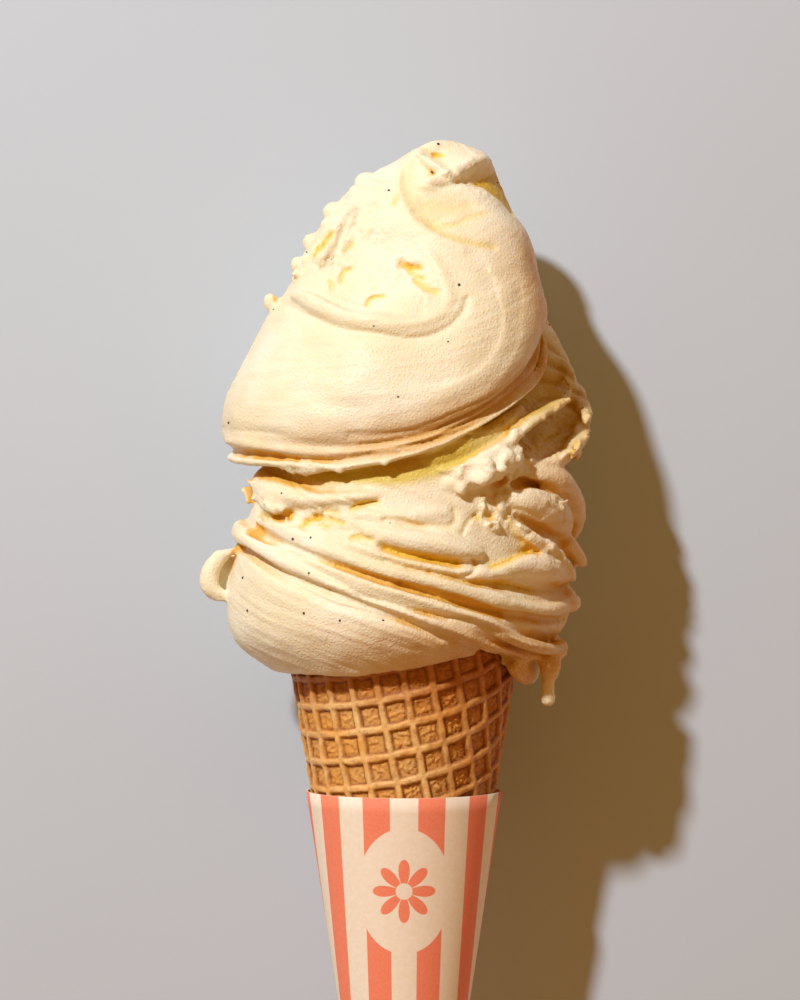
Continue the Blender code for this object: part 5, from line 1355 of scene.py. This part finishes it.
def sleeve_material():
    """Coral and cream stripes, with a plain oval that holds a simple flower."""
    n = Nodes("sleeve_look")
    split = n.add("ShaderNodeSeparateXYZ")
    n.feed(split.inputs[0], n.place)
    x = n.math("SUBTRACT", split.outputs[0], PLACE[0] * MM)
    y = n.math("DIVIDE", n.math("SUBTRACT", split.outputs[1], PLACE[1] * MM), MM)
    z = n.math("SUBTRACT", split.outputs[2], PLACE[2] * MM)
    turn = n.math("ARCTAN2", x, z)
    reach = n.math("MULTIPLY_ADD", n.math("SUBTRACT", y, SLEEVE_RIM), SLEEVE_TAPER, SLEEVE_RADIUS)
    along = n.times(turn, reach)
    narrowing = n.math("MULTIPLY_ADD", n.math("SUBTRACT", y, SLEEVE_RIM), STRIPE_NARROWING, 1.0)
    stripes = n.math("DIVIDE", n.math("DIVIDE", along, narrowing), STRIPE_WIDTH)
    wave = n.math("COSINE", n.times(stripes, math.pi))
    stripe = n.ramp(wave, -PRINT_SOFTNESS, PRINT_SOFTNESS)
    up = n.math("SUBTRACT", y, OVAL_HEIGHT)
    oval = n.math("POWER", n.math("DIVIDE", along, OVAL_HALF[0]), 2.0)
    oval = n.math("ADD", oval, n.math("POWER", n.math("DIVIDE", up, OVAL_HALF[1]), 2.0))
    oval = n.ramp(oval, 1.02, 0.98)
    from_middle = n.math("SQRT", n.math("ADD", n.math("POWER", along, 2.0), n.math("POWER", up, 2.0)))
    around = n.math("ARCTAN2", along, up)
    petal = n.math("ABSOLUTE", n.math("COSINE", n.times(around, FLOWER_PETALS / 2)))
    rim = n.times(n.math("POWER", petal, 0.55), FLOWER_RADIUS)
    flower = n.ramp(n.math("SUBTRACT", from_middle, rim), 0.15, -0.15)
    eye = n.ramp(from_middle, 1.65, 1.95)
    flower = n.times(flower, eye)
    fibre = n.noise(0.9, 5, 0.6)
    paper = n.mix(n.ramp(fibre, 0.3, 0.7), PAPER_CREAM, PAPER_PALE)
    ink = n.mix(n.ramp(n.noise(2.2, 4, 0.6), 0.3, 0.72), PAPER_CORAL, PAPER_CORAL_PALE)
    cream = n.math("MAXIMUM", stripe, oval)
    cream = n.times(cream, n.math("SUBTRACT", 1.0, flower))
    outside = n.attribute("outside")
    cream = n.math("MAXIMUM", cream, n.math("SUBTRACT", 1.0, outside))
    colour = n.mix(cream, ink, paper)
    normal = n.bump(n.noise(1.6, 5, 0.65), 0.25, 0.10)
    rough = n.ramp(fibre, 0.3, 0.7, 0.62, 0.78)
    return n.set(Base_Color=colour, Roughness=rough, Normal=normal, IOR=1.45)


SPECK_DARK = (0.03, 0.012, 0.006)
SPECK_BROWN = (0.09, 0.04, 0.02)
FLOOR_BLUE = (0.52, 0.60, 0.69)
FLOOR_PALE = (0.55, 0.63, 0.72)


def speck_material():
    n = Nodes("speck_look")
    colour = n.mix(n.noise(3.0), SPECK_DARK, SPECK_BROWN)
    return n.set(Base_Color=colour, Roughness=0.5, Normal=n.bump(n.noise(6.0), 0.3, 0.05))


def floor_material():
    n = Nodes("floor_look")
    colour = n.mix(n.noise(0.01, 2), FLOOR_BLUE, FLOOR_PALE)
    return n.set(Base_Color=colour, Roughness=0.75)


# Pieces


def ride_and_stand_for(obj, node):
    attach(obj, "root")
    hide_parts(node)


def place(obj, name, material):
    """Puts a working mesh in its place in metres under its own name."""
    set_points(obj, (mesh_points(obj) + PLACE) * MM)
    obj.name = name
    obj.data.name = name
    obj.data.materials.clear()
    obj.data.materials.append(material)
    obj.data.polygons.foreach_set("use_smooth", [True] * len(obj.data.polygons))


def thin_out(obj, most):
    """Fewer triangles where the surface is smooth, down to the most that are wanted."""
    count = sum(len(face.vertices) - 2 for face in obj.data.polygons)
    if count <= most:
        return
    modifier = obj.modifiers.new("thin_out", "DECIMATE")
    modifier.ratio = most / count
    apply_modifiers(obj)


def ice_cream_piece():
    voxel = FINE_VOXEL
    obj = fuse("swirled_ice_cream", build_mass(), voxel)
    smooth(obj, 0.5, 2)
    carve(obj)
    press_front(obj, FRONT_STROKES, FRONT_HOLLOWS)
    heal(obj, voxel)
    smooth(obj, 0.5, 1)
    flatten_back(obj)
    top = CONE_TOP + SOCKET_GAP
    clear = SOCKET_GAP + ROLL_STEP / 2
    socket = Mass()
    rows = [(-40, cone_radius(-40) + clear), (top, cone_radius(top) + clear)]
    socket.add_rings(turned(rows, 3 * CONE_SIDES))
    cut(obj, mesh_object("socket", socket.points, socket.faces))
    keep_largest_piece(obj)
    press_front(obj, FINE_STROKES, [])
    flatten_back(obj)
    fine_detail(obj)
    thin_out(obj, SURFACE_TRIANGLES)
    # Painted shade: hollows and creases that the piece hides from the sky get an amber shade in their
    # colour, kept lighter on the looped drip.
    cavity_shade = cavity_share(obj, CAVITY_RAYS, CAVITY_REACH)
    points = mesh_points(obj)
    loop_shade_cut = np.interp(points[:, 0], [-38.5, -37], [0.35, 1])
    write_attribute(obj, "cavity_shade", spread(obj, cavity_shade * loop_shade_cut, 3))
    colour_shares(obj)
    place(obj, "swirled_ice_cream", ice_cream_material())
    ride_and_stand_for(obj, "ice_cream")
    return obj


def off_line(distance):
    """How far each distance is from the nearest line of the waffle's grid."""
    return np.abs(distance / WAFFLE_PITCH - np.round(distance / WAFFLE_PITCH)) * WAFFLE_PITCH


def waffle_height(u, v):
    """The waffle sheet at flat places: its height, how far up a ridge, and how near a ridge's foot."""
    column = np.floor((u - WAFFLE_SHIFT[0]) / WAFFLE_PITCH)
    row = np.floor((v - WAFFLE_SHIFT[1]) / WAFFLE_PITCH)
    flat = np.stack([u, v, 0 * u], 1)
    wobble = 0.24 * soft_noise(flat, 3.4, 21) + 0.16 * soft_noise(flat, 1.5, 24)
    off_u = off_line(u - WAFFLE_SHIFT[0] + wobble)
    off_v = off_line(v - WAFFLE_SHIFT[1] - wobble)
    nearest = np.minimum(off_u, off_v)
    foot = WAFFLE_RIDGE / 2 + POCKET_SLOPE
    wall = np.clip((foot + 0.15 - nearest) / (foot + 0.15 - 0.45), 0, 1)
    ridge = wall * wall * (3 - 2 * wall) * (0.88 + 0.3 * soft_noise(flat, 2.4, 25))
    cell = np.sin(column * 12.9898 + row * 78.233) * 43758.5453
    cell = cell - np.floor(cell)
    floor = -POCKET_DEPTH * (0.8 + 0.35 * cell)
    crackle = np.abs(soft_noise(flat + np.stack([cell * 40, cell * 0, cell * 0], 1), 1.15, 22))
    emboss = 0.55 * np.clip(0.16 - crackle, 0, 0.16) / 0.16
    inside = np.clip((nearest - foot) / 0.5, 0, 1)
    height = floor * (1 - ridge) + emboss * inside + 0.10 * soft_noise(flat, 1.6, 23)
    height -= 0.10 * ridge * (nearest / 0.9) ** 2
    feet = np.exp(-(((nearest - foot * 0.98) / 0.30) ** 2))
    return height, ridge, feet


def waffle_piece():
    slope = math.atan(CONE_TAPER)
    apex = -CONE_RADIUS / CONE_TAPER
    sides = WAFFLE_SIDES
    step = WAFFLE_STEP
    fine = np.arange(CONE_TOP, RELIEF_BOTTOM, -step)
    plain = np.linspace(RELIEF_BOTTOM, CONE_TIP + 2, 14)
    heights = np.concatenate([fine, plain, [CONE_TIP + 0.7, CONE_TIP]])
    degrees = np.linspace(-180, 180, sides)
    turn, height = np.meshgrid(degrees, heights)
    slant = (height - apex) / math.cos(slope)
    spin = np.radians(turn - SHEET_EDGE) * math.sin(slope)
    u, v = (slant * np.sin(spin)).ravel(), (slant * np.cos(spin)).ravel()
    relief, ridge, feet = (part.reshape(turn.shape) for part in waffle_height(u, v))
    fade = np.clip((height - RELIEF_BOTTOM) / 2.5, 0, 1)
    relief, feet = relief * fade, feet * fade
    edge_share = np.clip((np.abs(turn) - 171) / 4, 0, 1)
    relief = relief * (1 - edge_share) - 0.05
    radius = cone_radius(height) + ROLL_STEP * (0.5 - (turn + 180) / 360)
    radius = np.minimum(radius, cone_radius(height) + ROLL_STEP / 2)
    tip = np.interp(height, [CONE_TIP, CONE_TIP + 0.7, CONE_TIP + 3], [0.8, 1.6, 2.2])
    radius = np.where(height < CONE_TIP + 3, tip, radius + relief)
    around = np.radians(turn)
    rings = np.stack([radius * np.sin(around), height, radius * np.cos(around)], 2)
    body = Mass()
    body.add_rings(rings[::-1])
    obj = mesh_object("rolled_waffle", body.points, body.faces)
    # Painted shadow of the ice cream on the waffle's top rows, and painted shade, with some darker
    # baking, down the shown right side.
    cream_shadow = np.interp(height + 1.6 * np.sin(np.radians(3 * turn)), [-11, -5, -1], [0, 0.8, 1])
    right = np.interp(turn, [-85, -45, 8, 34, 75, 170], [0.3, 0, 0, 0.55, 0.8, 0.3])
    shadow_and_toast = np.maximum(cream_shadow, right)
    for name, values in (("relief", ridge), ("edge", feet), ("shadow_and_toast", shadow_and_toast)):
        write_attribute(obj, name, np.concatenate([values[::-1].ravel(), [0.0, 0.0]]))
    place(obj, "rolled_waffle", waffle_material())
    ride_and_stand_for(obj, "waffle_cone")


def sleeve_piece():
    shoulder, floor = SLEEVE_TIP + 0.8, SLEEVE_TIP + 1.2
    heights = np.linspace(shoulder, SLEEVE_RIM, 40)
    rows = [(SLEEVE_TIP, 0.9)]
    rows += [(height, sleeve_radius(height)) for height in heights]
    rows += [(SLEEVE_RIM + 0.06, SLEEVE_RADIUS - PAPER / 2), (SLEEVE_RIM, SLEEVE_RADIUS - PAPER)]
    rows += [(height, sleeve_radius(height) - PAPER) for height in heights[-2:0:-1]]
    rows += [(floor, sleeve_radius(floor) - PAPER), (floor, 0.3)]
    body = Mass()
    body.add_rings(turned(rows, SLEEVE_SIDES))
    obj = mesh_object("printed_sleeve", body.points, body.faces)
    outside = np.zeros(len(rows))
    outside[: len(heights) + 1] = 1
    outside = np.concatenate([np.repeat(outside, SLEEVE_SIDES), [1.0, 0.0]])
    write_attribute(obj, "outside", outside)
    place(obj, "printed_sleeve", sleeve_material())
    ride_and_stand_for(obj, "paper_sleeve")


# Vanilla specks that show in the photograph, as (angle, height)
SPECKS = [
    (7.5, 114.6), (6.2, 108.5), (-3.3, 104.4), (-21.4, 90.8), (12.1, 83.6), (-6.6, 74.6), (9.7, 71.1),
    (-1.3, 59.0), (-38.5, 53.3), (-26.9, 37.8), (-3.1, 31.2), (-20.5, 28.0), (-24.4, 27.7),
    (-20.9, 20.2), (-35.4, 19.2), (-34.4, 12.0), (-22.0, 11.4), (-14.1, 9.8), (-4.6, 9.8),
]
SPECK_RADIUS = 0.33
HIDDEN_SPECKS = 46


def specks_piece(ice_cream):
    """Tiny dark flecks of vanilla in the surface, the shown ones in place and the rest scattered."""
    points = mesh_points(ice_cream) / MM - PLACE
    tree = surface_tree(ice_cream, points)
    draw = np.random.default_rng(5)
    eye = Vector((*CAMERA_OVER, CAMERA_HEIGHT))
    rays = [(eye, (Vector((x, height, 0)) - eye).normalized()) for x, height in SPECKS]
    for _ in range(HIDDEN_SPECKS):
        angle = math.radians(draw.uniform(75, 285))
        out = Vector((math.sin(angle), 0, math.cos(angle)))
        rays.append((Vector((0, draw.uniform(4, 106), 0)) + out * 60, -out))
    mass = Mass()
    for start, way in rays:
        hit = tree.ray_cast(start, way)[0]
        if hit is None:
            continue
        half = SPECK_RADIUS * draw.uniform(0.6, 1.15)
        mass.lump(tuple(hit + way * 0.1), (half, half * draw.uniform(0.7, 1.2), half), 6, 8)
    obj = mesh_object("vanilla_specks", mass.points, mass.faces)
    place(obj, "vanilla_specks", speck_material())
    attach(obj, "root")


# Stage, light and camera, in metres
FLOOR_HALF = 3
LIGHT_TARGET = (0, 0.06, 0.03)
KEY = {"at": (-0.50, 0.76, 0.94), "size": 0.07, "power": 15.3, "colour": (0.955, 0.95, 0.96)}
FILL = {"at": (0.70, -0.90, 0.40), "size": 0.8, "power": 0.9, "colour": (1.0, 0.34, 0.08)}
WORLD_COLOUR = (1.0, 0.50, 0.14, 1)
WORLD_STRENGTH = 0.34


def lamp(name, at, size, power, colour):
    light = bpy.data.lights.new(name, "AREA")
    light.shape = "DISK"
    light.size = size
    light.energy = power
    light.color = colour
    obj = bpy.data.objects.new(name, light)
    bpy.context.scene.collection.objects.link(obj)
    obj.location = at
    obj.rotation_mode = "QUATERNION"
    obj.rotation_quaternion = (Vector(LIGHT_TARGET) - Vector(at)).to_track_quat("-Z", "Y")


def stage_and_light():
    half = FLOOR_HALF
    corners = [(-half, -half, 0), (half, -half, 0), (half, half, 0), (-half, half, 0)]
    floor = mesh_object("floor", corners, [(0, 1, 2, 3)])
    floor.data.materials.append(floor_material())
    world = bpy.data.worlds.new("studio")
    world.use_nodes = True
    bpy.context.scene.world = world
    background = world.node_tree.nodes["Background"]
    background.inputs["Color"].default_value = WORLD_COLOUR
    background.inputs["Strength"].default_value = WORLD_STRENGTH
    lamp("key", **KEY)
    lamp("fill", **FILL)


# The photograph's frame: millimetres to a pixel at the cone's axis, and the camera over its middle
PIXEL = 0.22
FRAME_TALL = 1000
CAMERA_HEIGHT = 780.0
CAMERA_OVER = (-0.88, 36.3)
SENSOR_WIDTH = 36


def camera():
    data = bpy.data.cameras.new("camera")
    data.sensor_width = SENSOR_WIDTH
    data.lens = SENSOR_WIDTH * CAMERA_HEIGHT / (PIXEL * FRAME_TALL)
    data.clip_start = 0.01
    obj = bpy.data.objects.new("camera", data)
    bpy.context.scene.collection.objects.link(obj)
    obj.location = (np.array([*CAMERA_OVER, CAMERA_HEIGHT]) + PLACE) * MM
    bpy.context.scene.camera = obj


def dress():
    bpy.context.scene.view_settings.view_transform = "Standard"
    ice_cream = ice_cream_piece()
    waffle_piece()
    sleeve_piece()
    specks_piece(ice_cream)
    stage_and_light()
    camera()


dress()
